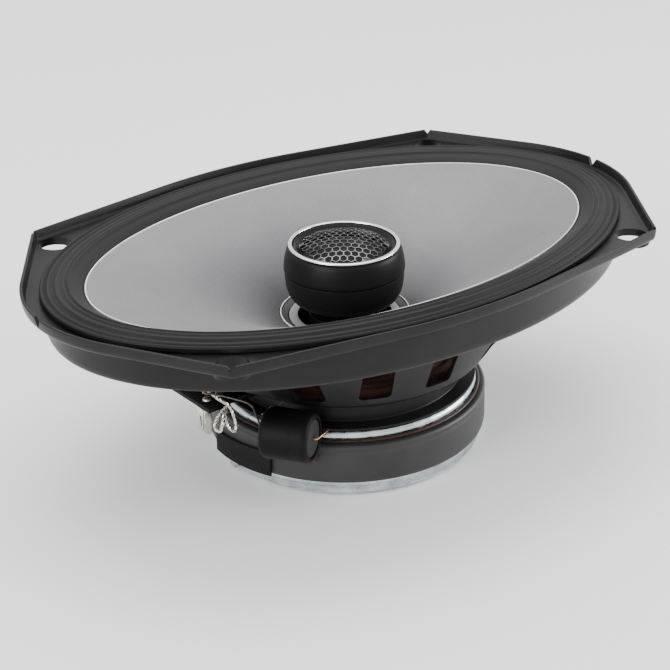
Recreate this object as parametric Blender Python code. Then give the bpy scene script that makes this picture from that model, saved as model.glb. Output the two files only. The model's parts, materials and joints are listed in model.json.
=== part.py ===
"""A 6 x 9 inch coaxial car speaker, every piece its own solid.

The speaker faces +Z and its long axis is X. The origin is under the middle of the yoke's flat back
face, so z = 0 is the surface that it stands on. Sizes below are in millimetres and become metres
when a mesh is made.
"""

import math

import bmesh
import bpy
import numpy as np
from mathutils import Matrix, Vector

MM = 0.001
GAP = 0.3  # clearance between touching pieces

# Frame flange: an ellipse drawn out to four screw corners, with an upturned lip
HALF_LENGTH = 118.5
HALF_WIDTH = 78.0
CORNER = (87.8, 64.9)
CORNER_RADIUS = 3.0
LIP_TOP = 78.0
FLOOR_TOP = 74.6
FLOOR_INSET = 1.7
SHEET = 1.2
SLOT_OUTER = (82.9, 58.1)
SLOT_HEADING = (0.7, 0.714)
SLOT_LENGTH = 11.5
SLOT_WIDTH = 10.8
SLOT_TOOL_LOW = 72.0
END_NOTCH = (4.6, 3.4)  # width, depth
CORNER_NOTCH = (3.0, 1.7)

# Skirt and bowl of the frame
SKIRT = (110.5, 75.0)
SKIRT_BOTTOM = 60.5
SKIRT_ROUND = 2.2
BOWL_TOP = (104.9, 61.0)
BOWL_TOP_Z = 61.3
LEDGE_RADIUS = 50.6
LEDGE_Z = 33.4
NECK_RADIUS = 41.6
SEAT_Z = 23.8
SEAT_HOLE_RADIUS = 22.0
SEAT_FLANGE_RADIUS = 46.9
SEAT_FLANGE_THICKNESS = 0.9
WINDOWS = ((137.5, 8.9), (114.7, 11.3), (88.7, 11.0), (57.0, 11.4), (28.0, 12.5))  # azimuth, width
WINDOW_LOW = 38.6
WINDOW_HIGH = 57.5
WINDOW_CORNER = 1.8
LEAD_WINDOW_WIDTH = 15.0

# Motor
PLATE_TOP = 23.5
PLATE_BOTTOM = 18.0
PLATE_RADIUS = 47.1
PLATE_HOLE_RADIUS = 18.9
MAGNET_RADIUS = 45.0
MAGNET_HOLE_RADIUS = 24.0
YOKE_RADIUS = 48.8
YOKE_THICKNESS = 5.0
POLE_RADIUS = 16.1
BOOT_RADIUS = 50.6
BOOT_TOP = 20.0
BOOT_BORE = 47.4

# Moving cone, its suspension and the coil
CONE_EDGE = (96.8, 58.6)
CONE_EDGE_Z = 74.9
CONE_NECK_RADIUS = 23.4
CONE_NECK_Z = 46.9
CONE_THICKNESS = 0.8
CONE_FLARE = 0.35
SURROUND_WIDTH = 15.0
FORMER_RADIUS = 16.8
FORMER_WALL = 0.35
COIL_RADIUS = 18.2
SPIDER_RADIUS = 49.3
SPIDER_Z = 35.1

# Tweeter pod on its post
POST_RADIUS = 13.0
POST_BORE = 4.0
PARTING_Z = 63.7
POD_RADIUS = 21.5
POD_TOP = 72.6
GRILLE_RADIUS = 15.9
GRILLE_RIM_Z = 72.3
GRILLE_RISE = 3.8
DOME_RADIUS = 12.3

# Terminals and crossover capacitor at the -X end
BOARD_TOP = 33.3
BOARD_THICKNESS = 1.6
BOARD_OUTLINE = ((-52.9, -8.8), (-52.9, 9.2), (-66.4, 10.6), (-65.0, -12.1), (-56.6, -11.2))
BLADE_TOP = 31.4
BLADE_THICKNESS = 0.8
CAPACITOR_RADIUS = 8.9
CAPACITOR_LENGTH = 17.2
CAPACITOR_AZIMUTH = 216.0
CAPACITOR_DISTANCE = 59.0
CAPACITOR_Z = 27.9
LEAD_RADIUS = 0.75
CAPACITOR_LEAD_RADIUS = 0.45

RING_STEPS = 44
WIDE_STEPS = 36
ROUND_STEPS = 24
HIDDEN_STEPS = 20
RIVET_STEPS = 8
CRISP = math.radians(32)


def clear_scene():
    for thing in list(bpy.data.objects):
        bpy.data.objects.remove(thing, do_unlink=True)


def material(name, color, roughness, metallic=0.0):
    """A Principled BSDF material in one colour."""
    made = bpy.data.materials.new(name)
    made.use_nodes = True
    shader = made.node_tree.nodes["Principled BSDF"]
    shader.inputs["Base Color"].default_value = (*color, 1.0)
    shader.inputs["Roughness"].default_value = roughness
    shader.inputs["Metallic"].default_value = metallic
    return made


def place(name, mesh, finish, parent=None):
    """Turn a bmesh into a named, smooth-shaded object."""
    bmesh.ops.recalc_face_normals(mesh, faces=mesh.faces)
    data = bpy.data.meshes.new(name)
    mesh.to_mesh(data)
    mesh.free()
    data.shade_smooth()
    data.set_sharp_from_angle(angle=CRISP)
    thing = bpy.data.objects.new(name, data)
    bpy.context.scene.collection.objects.link(thing)
    if finish is not None:
        data.materials.append(finish)
    thing.parent = parent
    return thing


def skin(rings, closed):
    """A bmesh through rings of points in millimetres; a ring of one point is a pole.

    A closed skin joins its last ring to its first; an open one gets flat ends.
    """
    mesh = bmesh.new()
    layers = [[mesh.verts.new(Vector(point) * MM) for point in ring] for ring in rings]
    followers = layers[1:] + (layers[:1] if closed else [])
    for near, far in zip(layers, followers):
        count = max(len(near), len(far))
        for i in range(count):
            j = (i + 1) % count
            loop = [near[i % len(near)], near[j % len(near)], far[j % len(far)], far[i % len(far)]]
            mesh.faces.new(list(dict.fromkeys(loop)))
    if not closed:
        for end in (layers[0], layers[-1]):
            if len(end) > 1:
                mesh.faces.new(end)
    return mesh


def circle(radius, z, steps):
    """A ring of points about the Z axis, or its pole where the radius is nothing."""
    if radius == 0.0:
        return [(0.0, 0.0, z)]
    turns = [2 * math.pi * i / steps for i in range(steps)]
    return [(radius * math.cos(t), radius * math.sin(t), z) for t in turns]


def turned(name, profile, finish, steps=ROUND_STEPS, parent=None):
    """A lathe-turned body: (radius, z) points, hollow unless the profile starts on the axis."""
    rings = [circle(radius, z, steps) for radius, z in profile]
    return place(name, skin(rings, closed=profile[0][0] > 0.0), finish, parent)


def slab(name, outline, low, high, finish, parent=None):
    """A flat plate: an outline of (x, y) points raised from low to high."""
    rings = [[(x, y, z) for x, y in outline] for z in (low, high)]
    return place(name, skin(rings, closed=False), finish, parent)


def bar(name, low, high, finish, parent=None):
    """A rectangular bar between two opposite corners."""
    outline = [(low[0], low[1]), (high[0], low[1]), (high[0], high[1]), (low[0], high[1])]
    return slab(name, outline, low[2], high[2], finish, parent)


def smooth_route(points, spacing):
    """Points evenly read from a Catmull-Rom curve through a hand-laid route."""
    route = [Vector(point) for point in points]
    padded = [route[0] * 2 - route[1], *route, route[-1] * 2 - route[-2]]
    dense = []
    for a, b, c, d in zip(padded, padded[1:], padded[2:], padded[3:]):
        for i in range(20):
            t = i / 20
            dense.append(
                0.5 * (2 * b + (c - a) * t + (2 * a - 5 * b + 4 * c - d) * t**2)
                + 0.5 * (3 * b - 3 * c + d - a) * t**3
            )
    dense.append(route[-1])
    kept = [dense[0]]
    for point in dense[1:-1]:
        if (point - kept[-1]).length >= spacing and (point - dense[-1]).length > spacing / 2:
            kept.append(point)
    return [*kept, dense[-1]]


def wire(name, points, radius, finish, parent=None):
    """A round wire along a smooth route, closed at both ends."""
    curve = bpy.data.curves.new(name, "CURVE")
    curve.dimensions = "3D"
    curve.bevel_depth = radius * MM
    curve.bevel_resolution = 1
    curve.use_fill_caps = True
    spline = curve.splines.new("POLY")
    route = smooth_route(points, 3.2 * radius)
    spline.points.add(len(route) - 1)
    for target, point in zip(spline.points, route):
        target.co = (*(point * MM), 1.0)
    curve.materials.append(finish)
    thing = bpy.data.objects.new(name, curve)
    bpy.context.scene.collection.objects.link(thing)
    thing.parent = parent
    return thing


def change(target, tool, operation):
    """Cut a hidden tool out of a piece, or weld it on."""
    modifier = target.modifiers.new(tool.name, "BOOLEAN")
    modifier.object = tool
    modifier.operation = operation
    modifier.solver = "EXACT"
    tool.hide_render = True
    tool.display_type = "WIRE"


def outline_reach(azimuth, inset):
    """Distance from the centre to the flange outline, drawn in by an inset.

    The outline is the hull of an ellipse and four small corner circles, so its support
    function is the larger of theirs.
    """
    headings = np.radians(np.arange(0.0, 360.0, 0.25))
    along = np.abs(np.cos(headings))
    across = np.abs(np.sin(headings))
    ellipse = np.hypot(HALF_LENGTH * along, HALF_WIDTH * across)
    backed = CORNER_RADIUS / math.sqrt(2)
    corner = (CORNER[0] - backed) * along + (CORNER[1] - backed) * across + CORNER_RADIUS
    support = np.maximum(ellipse, corner) - inset
    facing = np.cos(headings - azimuth)
    return float(np.min(support[facing > 0.05] / facing[facing > 0.05]))


def ellipse_reach(azimuth, half_axes):
    """Distance from the centre to an ellipse along an azimuth."""
    return 1.0 / math.hypot(math.cos(azimuth) / half_axes[0], math.sin(azimuth) / half_axes[1])


def bowl_reach(azimuth, z):
    """Outer distance of the bowl's wall, which runs from the ledge's circle to an ellipse."""
    share = (z - LEDGE_Z - 2.0) / (BOWL_TOP_Z - LEDGE_Z - 2.0)
    return LEDGE_RADIUS + share * (ellipse_reach(azimuth, BOWL_TOP) - LEDGE_RADIUS)


def ring_azimuths(corners):
    """Azimuths evenly spread round the oval, with three more at each screw corner."""
    corner = math.atan2(CORNER[1], CORNER[0])
    tips = [side * corner + base for base in (0.0, math.pi) for side in (1, -1)] if corners else []
    nudge = math.radians(1.3)
    extra = [(tip + shift) % (2 * math.pi) for tip in tips for shift in (-nudge, 0.0, nudge)]
    turns = [2 * math.pi * i / RING_STEPS for i in range(RING_STEPS)]
    even = [math.atan2(HALF_WIDTH * math.sin(t), HALF_LENGTH * math.cos(t)) for t in turns]
    even = [azimuth % (2 * math.pi) for azimuth in even]
    apart = math.radians(1.2)
    kept = [a for a in even if all(abs(a - other) > apart for other in extra)]
    return sorted(kept + extra)


def oval_ring(reach, z, azimuths):
    """A ring at one height whose distance from the axis is a function of azimuth."""
    reaches = [(reach(a), a) for a in azimuths]
    return [(r * math.cos(a), r * math.sin(a), z) for r, a in reaches]


def merged_tool(name, parts):
    """Join several closed bodies into one hidden cutting tool."""
    mesh = bmesh.new()
    for part in parts:
        bmesh.ops.recalc_face_normals(part, faces=part.faces)
        data = bpy.data.meshes.new(name)
        part.to_mesh(data)
        part.free()
        mesh.from_mesh(data)
        bpy.data.meshes.remove(data)
    return place(name, mesh, None)


def window_body(azimuth, width):
    """A body through the bowl's wall along an azimuth, in the shape of a window with rounded feet."""
    out = Vector((math.cos(azimuth), math.sin(azimuth), 0.0))
    side = Vector((-out.y, out.x, 0.0))
    half = bowl_reach(azimuth, (WINDOW_LOW + WINDOW_HIGH) / 2) * math.tan(width / 2)
    soft = 0.3 * WINDOW_CORNER
    section = [
        (half, WINDOW_HIGH),
        (-half, WINDOW_HIGH),
        (-half, WINDOW_LOW + WINDOW_CORNER),
        (soft - half, WINDOW_LOW + soft),
        (WINDOW_CORNER - half, WINDOW_LOW),
        (half - WINDOW_CORNER, WINDOW_LOW),
        (half - soft, WINDOW_LOW + soft),
        (half, WINDOW_LOW + WINDOW_CORNER),
    ]
    rings = []
    for distance in (LEDGE_RADIUS - 8.0, ellipse_reach(azimuth, BOWL_TOP) + 2.0):
        rings.append([out * distance + side * s + Vector((0.0, 0.0, z)) for s, z in section])
    return skin(rings, closed=False)


def frame_windows():
    """One hidden tool that opens the windows in the bowl, in pairs either side of the long axis."""
    places = [(side * azimuth, width) for azimuth, width in WINDOWS for side in (1, -1)]
    places.append((180.0, LEAD_WINDOW_WIDTH))
    bodies = [window_body(math.radians(azimuth), math.radians(width)) for azimuth, width in places]
    return merged_tool("window_tool", bodies)


def screw_slots():
    """One hidden tool that cuts the four screw slots, each pointing at its corner."""
    radius = SLOT_WIDTH / 2
    outer = Vector((*SLOT_OUTER, 0.0))
    inner = outer - Vector((*SLOT_HEADING, 0.0)) * (SLOT_LENGTH - SLOT_WIDTH)
    heading = math.atan2(SLOT_HEADING[1], SLOT_HEADING[0])
    outline = []
    for centre, start in ((outer, heading - math.pi / 2), (inner, heading + math.pi / 2)):
        for i in range(7):
            turn = start + math.pi * i / 6
            outline.append((centre.x + radius * math.cos(turn), centre.y + radius * math.sin(turn)))
    bodies = []
    for sx in (1, -1):
        for sy in (1, -1):
            levels = (SLOT_TOOL_LOW, FLOOR_TOP + 1.0)
            bodies.append(skin([[(sx * x, sy * y, z) for x, y in outline] for z in levels], closed=False))
    return merged_tool("slot_tool", bodies)


def lip_notches():
    """One hidden tool that cuts V notches in the lip: at the corners and both ends."""
    corner = math.atan2(CORNER[1], CORNER[0])
    places = [(0.0, END_NOTCH), (math.pi, END_NOTCH)]
    places += [(base + side * corner, CORNER_NOTCH) for base in (0.0, math.pi) for side in (1, -1)]
    bodies = []
    for azimuth, (width, depth) in places:
        reach = outline_reach(azimuth, 0.0)
        out = Vector((math.cos(azimuth), math.sin(azimuth), 0.0))
        side = Vector((-out.y, out.x, 0.0)) * width / 2
        top = Vector((0.0, 0.0, LIP_TOP + 0.1))
        root = Vector((0.0, 0.0, LIP_TOP - depth))
        rings = []
        for distance in (reach - 4.5, reach + 2.0):
            base = out * distance
            rings.append([base - side + top, base + side + top, base + root])
        bodies.append(skin(rings, closed=False))
    return merged_tool("notch_tool", bodies)


def make_basket(finish):
    """The pressed steel frame: lip, flange, skirt, windowed bowl, spider ledge and magnet seat."""
    azimuths = ring_azimuths(corners=True)

    def lip(inset, z):
        return oval_ring(lambda a: outline_reach(a, inset), z, azimuths)

    def oval(half_axes, z):
        return oval_ring(lambda a: ellipse_reach(a, half_axes), z, azimuths)

    def disc(radius, z):
        return oval_ring(lambda a: radius, z, azimuths)

    wall_in = (SKIRT[0] - SHEET, SKIRT[1] - SHEET)
    landing = (104.2, 68.7)
    under = FLOOR_TOP - SHEET
    rings = [
        lip(0.0, LIP_TOP),
        lip(0.9, under + 0.5),
        lip(1.5, under),
        oval(SKIRT, under),
        oval(SKIRT, SKIRT_BOTTOM + SKIRT_ROUND),
        oval((SKIRT[0] - SKIRT_ROUND, SKIRT[1] - SKIRT_ROUND), SKIRT_BOTTOM),
        oval(BOWL_TOP, BOWL_TOP_Z),
        disc(LEDGE_RADIUS, LEDGE_Z + 2.0),
        disc(LEDGE_RADIUS - 2.6, LEDGE_Z),
        disc(NECK_RADIUS, LEDGE_Z - 0.6),
        disc(NECK_RADIUS, SEAT_Z + SEAT_FLANGE_THICKNESS),
        disc(SEAT_FLANGE_RADIUS, SEAT_Z + SEAT_FLANGE_THICKNESS),
        disc(SEAT_FLANGE_RADIUS, SEAT_Z),
        disc(SEAT_HOLE_RADIUS, SEAT_Z),
        disc(SEAT_HOLE_RADIUS, SEAT_Z + SHEET),
        disc(NECK_RADIUS - SHEET, SEAT_Z + SHEET),
        disc(NECK_RADIUS - SHEET, LEDGE_Z + SHEET),
        disc(LEDGE_RADIUS - 3.2, LEDGE_Z + SHEET),
        disc(LEDGE_RADIUS - 1.6, LEDGE_Z + 2.5),
        oval((BOWL_TOP[0] - 1.2, BOWL_TOP[1] - 1.2), BOWL_TOP_Z + 0.9),
        oval((wall_in[0] - SKIRT_ROUND, wall_in[1] - SKIRT_ROUND), SKIRT_BOTTOM + SHEET),
        oval(wall_in, SKIRT_BOTTOM + SHEET + SKIRT_ROUND),
        oval(wall_in, under),
        oval(landing, under),
        oval(landing, FLOOR_TOP),
        lip(FLOOR_INSET, FLOOR_TOP),
        lip(SHEET, LIP_TOP),
    ]
    basket = place("basket", skin(rings, closed=True), finish)
    change(basket, frame_windows(), "DIFFERENCE")
    change(basket, screw_slots(), "DIFFERENCE")
    change(basket, lip_notches(), "DIFFERENCE")
    return basket


def cone_height(share):
    """Height above the neck as a share of the cone's depth, steeper near the neck."""
    return share * (1.0 + CONE_FLARE * (1.0 - share))


def make_cone(finish, parent):
    """The oval cone: a thin sheet from its round neck to its oval edge."""
    azimuths = ring_azimuths(corners=False)
    depth = CONE_EDGE_Z - CONE_NECK_Z
    shares = [0.0, 0.2, 0.5, 1.0]

    def ring(share, drop):
        def reach(azimuth):
            edge = ellipse_reach(azimuth, CONE_EDGE)
            return CONE_NECK_RADIUS + share * (edge - CONE_NECK_RADIUS)

        return oval_ring(reach, CONE_NECK_Z + depth * cone_height(share) - drop, azimuths)

    rings = [ring(share, 0.0) for share in shares]
    rings += [ring(share, CONE_THICKNESS) for share in reversed(shares)]
    return place("cone", skin(rings, closed=True), finish, parent)


def make_surround(finish):
    """The ribbed rubber surround between the cone's edge and the flange.

    Each point is a distance outward from the cone's edge and a height.
    """
    azimuths = ring_azimuths(corners=False)
    top = [
        (-2.6, 72.2),
        (0.35, 73.8),
        (0.6, 74.5),
        (2.8, 76.1),
        (5.6, 77.5),
        (9.6, 77.5),
        (11.2, 76.7),
        (13.4, 77.2),
        (SURROUND_WIDTH, 76.0),
    ]
    bottom = [
        (SURROUND_WIDTH, FLOOR_TOP + GAP),
        (11.4, FLOOR_TOP + GAP),
        (9.6, 76.6),
        (5.8, 76.6),
        (0.8, 73.4),
        (-2.6, 71.6),
    ]
    rings = []
    for outward, z in top + bottom:
        half_axes = (CONE_EDGE[0] + outward, CONE_EDGE[1] + outward)
        rings.append(oval_ring(lambda a, axes=half_axes: ellipse_reach(a, axes), z, azimuths))
    return place("surround", skin(rings, closed=True), finish)


def make_spider(finish):
    """The corrugated centring disc between the former and the ledge."""
    inner = FORMER_RADIUS + FORMER_WALL + GAP
    waves = 3
    crests = [inner + (42.5 - inner) * i / (2 * waves) for i in range(2 * waves + 1)]
    top = [(r, SPIDER_Z + 0.6 + (0.9 if i % 2 else -0.1)) for i, r in enumerate(crests)]
    top.append((SPIDER_RADIUS - 1.9, SPIDER_Z + 0.4))
    bottom = [(r, z - 0.55) for r, z in reversed(top)]
    return turned("spider", top + bottom, finish)


def make_motor(zinc, ferrite, rubber, glue):
    """Plate, magnet, yoke, rubber boot and the bead of sealant above it."""
    turned(
        "front_plate",
        [
            (PLATE_RADIUS - 1.2, PLATE_TOP),
            (PLATE_RADIUS - 0.3, PLATE_TOP - 0.5),
            (PLATE_RADIUS, PLATE_TOP - 1.4),
            (PLATE_RADIUS, PLATE_BOTTOM),
            (PLATE_HOLE_RADIUS, PLATE_BOTTOM),
            (PLATE_HOLE_RADIUS, PLATE_TOP),
        ],
        zinc,
        steps=WIDE_STEPS,
    )
    low = YOKE_THICKNESS + GAP
    high = PLATE_BOTTOM - GAP
    turned(
        "magnet",
        [
            (MAGNET_RADIUS - 0.8, high),
            (MAGNET_RADIUS, high - 0.8),
            (MAGNET_RADIUS, low + 0.8),
            (MAGNET_RADIUS - 0.8, low),
            (MAGNET_HOLE_RADIUS, low),
            (MAGNET_HOLE_RADIUS, high),
        ],
        ferrite,
    )
    turned(
        "t_yoke",
        [
            (POLE_RADIUS - 0.4, PLATE_TOP),
            (POLE_RADIUS, PLATE_TOP - 0.4),
            (POLE_RADIUS, YOKE_THICKNESS),
            (YOKE_RADIUS - 0.5, YOKE_THICKNESS),
            (YOKE_RADIUS, YOKE_THICKNESS - 0.5),
            (YOKE_RADIUS, 0.8),
            (YOKE_RADIUS - 0.8, 0.0),
            (3.0, 0.0),
            (3.0, 11.5),
            (6.0 + GAP, 11.5),
            (6.0 + GAP, PLATE_TOP),
        ],
        zinc,
        steps=WIDE_STEPS,
    )
    turned(
        "magnet_boot",
        [
            (BOOT_BORE + 0.5, BOOT_TOP),
            (BOOT_RADIUS - 0.9, BOOT_TOP),
            (BOOT_RADIUS, BOOT_TOP - 0.9),
            (BOOT_RADIUS - 0.2, BOOT_TOP - 2.6),
            (BOOT_RADIUS, low + 1.0),
            (BOOT_RADIUS - 0.4, low),
            (BOOT_BORE, low),
            (BOOT_BORE, BOOT_TOP - 0.5),
        ],
        rubber,
        steps=WIDE_STEPS,
    )
    seal = BOOT_TOP + GAP
    turned(
        "boot_seal_ring",
        [
            (BOOT_BORE + 0.1, seal + 0.8),
            (BOOT_BORE + 0.7, seal + 0.7),
            (BOOT_BORE + 1.0, seal + 0.3),
            (BOOT_BORE + 1.0, seal),
            (BOOT_BORE, seal),
            (BOOT_BORE, seal + 0.6),
        ],
        glue,
        steps=WIDE_STEPS,
    )


def make_coil(kapton, copper, collar_finish, ring_finish, parent):
    """Voice coil, its former, and the two rings that trim the cone's neck."""
    wall = FORMER_RADIUS + FORMER_WALL
    turned(
        "voice_coil_former",
        [(wall, 45.3), (wall, 14.2), (FORMER_RADIUS, 14.2), (FORMER_RADIUS, 45.3)],
        kapton,
        parent=parent,
    )
    inner = wall + GAP
    turned(
        "voice_coil",
        [(COIL_RADIUS, 26.9), (COIL_RADIUS, 14.6), (inner, 14.6), (inner, 26.9)],
        copper,
        parent=parent,
    )
    neck = CONE_NECK_RADIUS - GAP
    turned(
        "cone_collar",
        [
            (neck - 0.5, CONE_NECK_Z + 0.5),
            (neck, CONE_NECK_Z + 0.4),
            (neck, CONE_NECK_Z - 0.9),
            (20.3, CONE_NECK_Z - 1.7),
            (20.3, CONE_NECK_Z - 1.0),
            (neck - 0.6, CONE_NECK_Z + 0.1),
        ],
        collar_finish,
        parent=parent,
    )
    turned(
        "neck_ring",
        [
            (19.9, CONE_NECK_Z - 0.7),
            (20.0, CONE_NECK_Z - 1.3),
            (FORMER_RADIUS + 0.1, CONE_NECK_Z - 1.3),
            (FORMER_RADIUS + 0.1, CONE_NECK_Z - 0.7),
        ],
        ring_finish,
        parent=parent,
    )


def make_tweeter_body(plastic, chrome, mesh_finish, steel, ferrite):
    """The fixed tweeter pod: post, two shells, trim, grille, faceplate and its motor."""
    turned(
        "tweeter_post",
        [
            (POST_RADIUS, 47.5),
            (POST_RADIUS, 26.4),
            (POST_RADIUS + 1.5, 25.8),
            (POST_RADIUS + 1.5, PLATE_TOP + GAP),
            (6.0, PLATE_TOP + GAP),
            (6.0, 12.0),
            (3.2, 12.0),
            (3.2, 24.0),
            (POST_BORE, 25.0),
            (POST_BORE, 47.5),
        ],
        plastic,
    )
    turned(
        "tweeter_lower_cup",
        [
            (21.2, PARTING_Z),
            (21.1, 60.5),
            (20.7, 57.2),
            (19.6, 54.4),
            (17.7, 52.3),
            (15.2, 50.9),
            (13.7, 50.0),
            (POST_RADIUS, 48.8),
            (POST_RADIUS, 47.8),
            (POST_BORE, 47.8),
            (POST_BORE, 53.3),
            (15.5, 53.3),
            (18.4, 56.0),
            (19.6, 59.0),
            (19.6, PARTING_Z),
        ],
        plastic,
    )
    turned(
        "tweeter_housing",
        [
            (18.4, POD_TOP),
            (19.7, POD_TOP),
            (20.3, 71.4),
            (21.1, 68.3),
            (POD_RADIUS, 65.2),
            (POD_RADIUS, 64.4),
            (POD_RADIUS - 0.2, PARTING_Z + GAP),
            (19.6, PARTING_Z + GAP),
            (19.6, 66.0),
            (18.4, 66.8),
        ],
        plastic,
    )
    turned(
        "tweeter_trim_ring",
        [
            (18.6, POD_TOP + 1.0),
            (19.5, POD_TOP + 1.0),
            (19.75, POD_TOP + 0.75),
            (19.75, POD_TOP + GAP),
            (18.3, POD_TOP + GAP),
            (18.3, POD_TOP + 0.8),
        ],
        chrome,
    )
    turned(
        "tweeter_faceplate",
        [
            (18.0, POD_TOP + 0.6),
            (18.0, 66.6),
            (13.2, 66.6),
            (13.2, 68.7),
            (15.1, 68.7),
            (15.1, 71.5),
            (16.3, 71.7),
        ],
        plastic,
    )
    grille_top = [
        (GRILLE_RADIUS * share, GRILLE_RIM_Z + GRILLE_RISE * (1.0 - share**2) + 0.1)
        for share in (0.0, 0.25, 0.5, 0.75, 1.0)
    ]
    grille = grille_top + [(r, z - 0.5) for r, z in reversed(grille_top)]
    turned("tweeter_grille", grille, mesh_finish)
    turned(
        "tweeter_yoke_cup",
        [
            (15.8, 66.3),
            (15.8, 57.0),
            (14.8, 56.0),
            (2.5, 56.0),
            (2.5, 58.6),
            (13.1, 58.6),
            (13.1, 66.3),
        ],
        steel,
        steps=HIDDEN_STEPS,
    )
    magnet = [(10.8, 63.0), (10.8, 58.9), (2.5, 58.9), (2.5, 63.0)]
    turned("tweeter_magnet", magnet, ferrite, HIDDEN_STEPS)
    pole = [(11.4, 66.0), (11.4, 63.3), (2.5, 63.3), (2.5, 66.0)]
    turned("tweeter_pole_plate", pole, steel, HIDDEN_STEPS)


def make_tweeter_diaphragm(silk, copper, parent):
    """The moving dome and its coil."""
    skirt = DOME_RADIUS + 2.3
    top = [
        (0.0, 73.6),
        (3.8, 73.3),
        (7.4, 72.4),
        (10.4, 70.9),
        (DOME_RADIUS, 69.5),
        (DOME_RADIUS + 0.9, 70.0),
        (skirt, 69.6),
        (skirt, 69.1),
    ]
    under = [
        (DOME_RADIUS + 0.9, 69.5),
        (DOME_RADIUS - 0.2, 69.1),
        (10.2, 70.4),
        (7.2, 71.9),
        (3.8, 72.8),
        (0.0, 73.1),
    ]
    turned("tweeter_dome", top + under, silk, steps=HIDDEN_STEPS, parent=parent)
    outer = DOME_RADIUS + 0.3
    inner = DOME_RADIUS - 0.3
    coil = [(outer, 68.8), (outer, 63.6), (inner, 63.6), (inner, 68.8)]
    turned("tweeter_voice_coil", coil, copper, steps=HIDDEN_STEPS, parent=parent)


def make_frame_rivets(basket, plate, steel):
    """Four rivets that hold the frame's seat to the front plate, in holes of both."""
    for number in range(4):
        turn = math.pi / 4 + number * math.pi / 2
        centre = Vector((31.0 * math.cos(turn), 31.0 * math.sin(turn), 0.0)) * MM
        seat = SEAT_Z + SHEET + GAP
        profile = [(0.0, seat + 1.1), (1.8, seat + 0.8), (2.3, seat), (1.2, seat)]
        profile += [(1.2, 20.0), (0.0, 20.0)]
        rivet = turned(f"frame_rivet_{number + 1}", profile, steel, steps=RIVET_STEPS)
        rivet.location = centre
        bore = [(0.0, 28.0), (1.5, 28.0), (1.5, 19.6), (0.0, 19.6)]
        hole = turned(f"rivet_tool_{number + 1}", bore, None, RIVET_STEPS)
        hole.location = centre
        change(basket, hole, "DIFFERENCE")
        change(plate, hole, "DIFFERENCE")


def make_terminals(basket, fibre, tin, steel):
    """The terminal board on an ear of the frame, its two blades and their rivets."""
    under = BOARD_TOP - BOARD_THICKNESS
    ear = bar("ear_tool", (-60.5, -7.5, 29.8), (-40.6, 7.5, 31.4), None)
    change(basket, ear, "UNION")
    board = slab("terminal_board", BOARD_OUTLINE, under, BOARD_TOP, fibre)
    wide = [(-65.2, 23.5), (-65.2, BLADE_TOP), (-60.8, BLADE_TOP), (-60.8, BLADE_TOP - BLADE_THICKNESS)]
    wide += [(-64.4, BLADE_TOP - BLADE_THICKNESS), (-64.4, 22.7), (-64.8, 22.5)]
    rings = [[(x, y, z) for x, z in wide] for y in (-7.7, -4.1)]
    blade = place("terminal_blade_wide", skin(rings, closed=False), tin)
    slot = bar("blade_slot_tool", (-66.2, -6.9, 24.6), (-63.8, -5.9, 28.6), None)
    change(blade, slot, "DIFFERENCE")
    narrow = [(-65.0, 22.4), (-63.6, 21.6), (-62.2, 22.4), (-62.2, BLADE_TOP), (-65.0, BLADE_TOP)]
    rings = [[(x, y, z) for x, z in narrow] for y in (-8.8, -8.1)]
    place("terminal_blade_narrow", skin(rings, closed=False), tin)
    rivet_profile = [(0.0, 1.0), (1.3, 0.8), (1.7, 0.0), (0.9, 0.0)]
    for name, x, y, seat, root in (
        ("terminal_rivet", -62.2, -6.2, BOARD_TOP + GAP, BLADE_TOP - BLADE_THICKNESS - 0.4),
        ("board_rivet_1", -57.0, 5.6, BOARD_TOP + GAP, 30.2),
        ("board_rivet_2", -57.0, -5.6, BOARD_TOP + GAP, 30.2),
    ):
        profile = [(r, z + seat) for r, z in rivet_profile] + [(0.9, root), (0.0, root)]
        rivet = turned(name, profile, steel, steps=RIVET_STEPS)
        rivet.location = Vector((x, y, 0.0)) * MM
        bore = [(0.0, 36.5), (1.2, 36.5), (1.2, 29.0), (0.0, 29.0)]
        hole = turned(f"{name}_tool", bore, None, RIVET_STEPS)
        hole.location = rivet.location
        for piece in (board, blade) if name == "terminal_rivet" else (board, basket):
            change(piece, hole, "DIFFERENCE")


def make_leads(braid):
    """Two braided leads from the terminals, looping down and through the frame to the former."""
    wire(
        "tinsel_lead_positive",
        [
            (-61.4, -3.6, 34.6),
            (-63.2, -3.8, 37.4),
            (-63.8, -3.4, 40.8),
            (-59.6, -1.6, 44.0),
            (-54.0, 0.4, 45.6),
            (-48.0, 2.5, 46.0),
            (-38.0, 4.0, 42.0),
            (-28.0, 4.5, 39.5),
            (-18.6, 4.0, 41.0),
        ],
        LEAD_RADIUS,
        braid,
    )
    wire(
        "tinsel_lead_negative",
        [
            (-57.4, -13.3, 33.2),
            (-61.0, -13.3, 31.6),
            (-64.3, -14.2, 27.8),
            (-63.5, -15.8, 26.1),
            (-62.1, -16.0, 29.1),
            (-60.7, -14.8, 31.3),
            (-60.5, -16.8, 27.3),
            (-58.9, -18.3, 25.9),
            (-58.1, -17.4, 28.9),
            (-58.6, -14.8, 33.6),
            (-61.8, -11.6, 36.8),
            (-63.8, -7.6, 40.6),
            (-60.0, -6.2, 44.2),
            (-53.0, -5.4, 45.6),
            (-44.0, -4.5, 44.0),
            (-31.0, -4.5, 39.5),
            (-18.6, -4.0, 41.0),
        ],
        LEAD_RADIUS,
        braid,
    )


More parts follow.
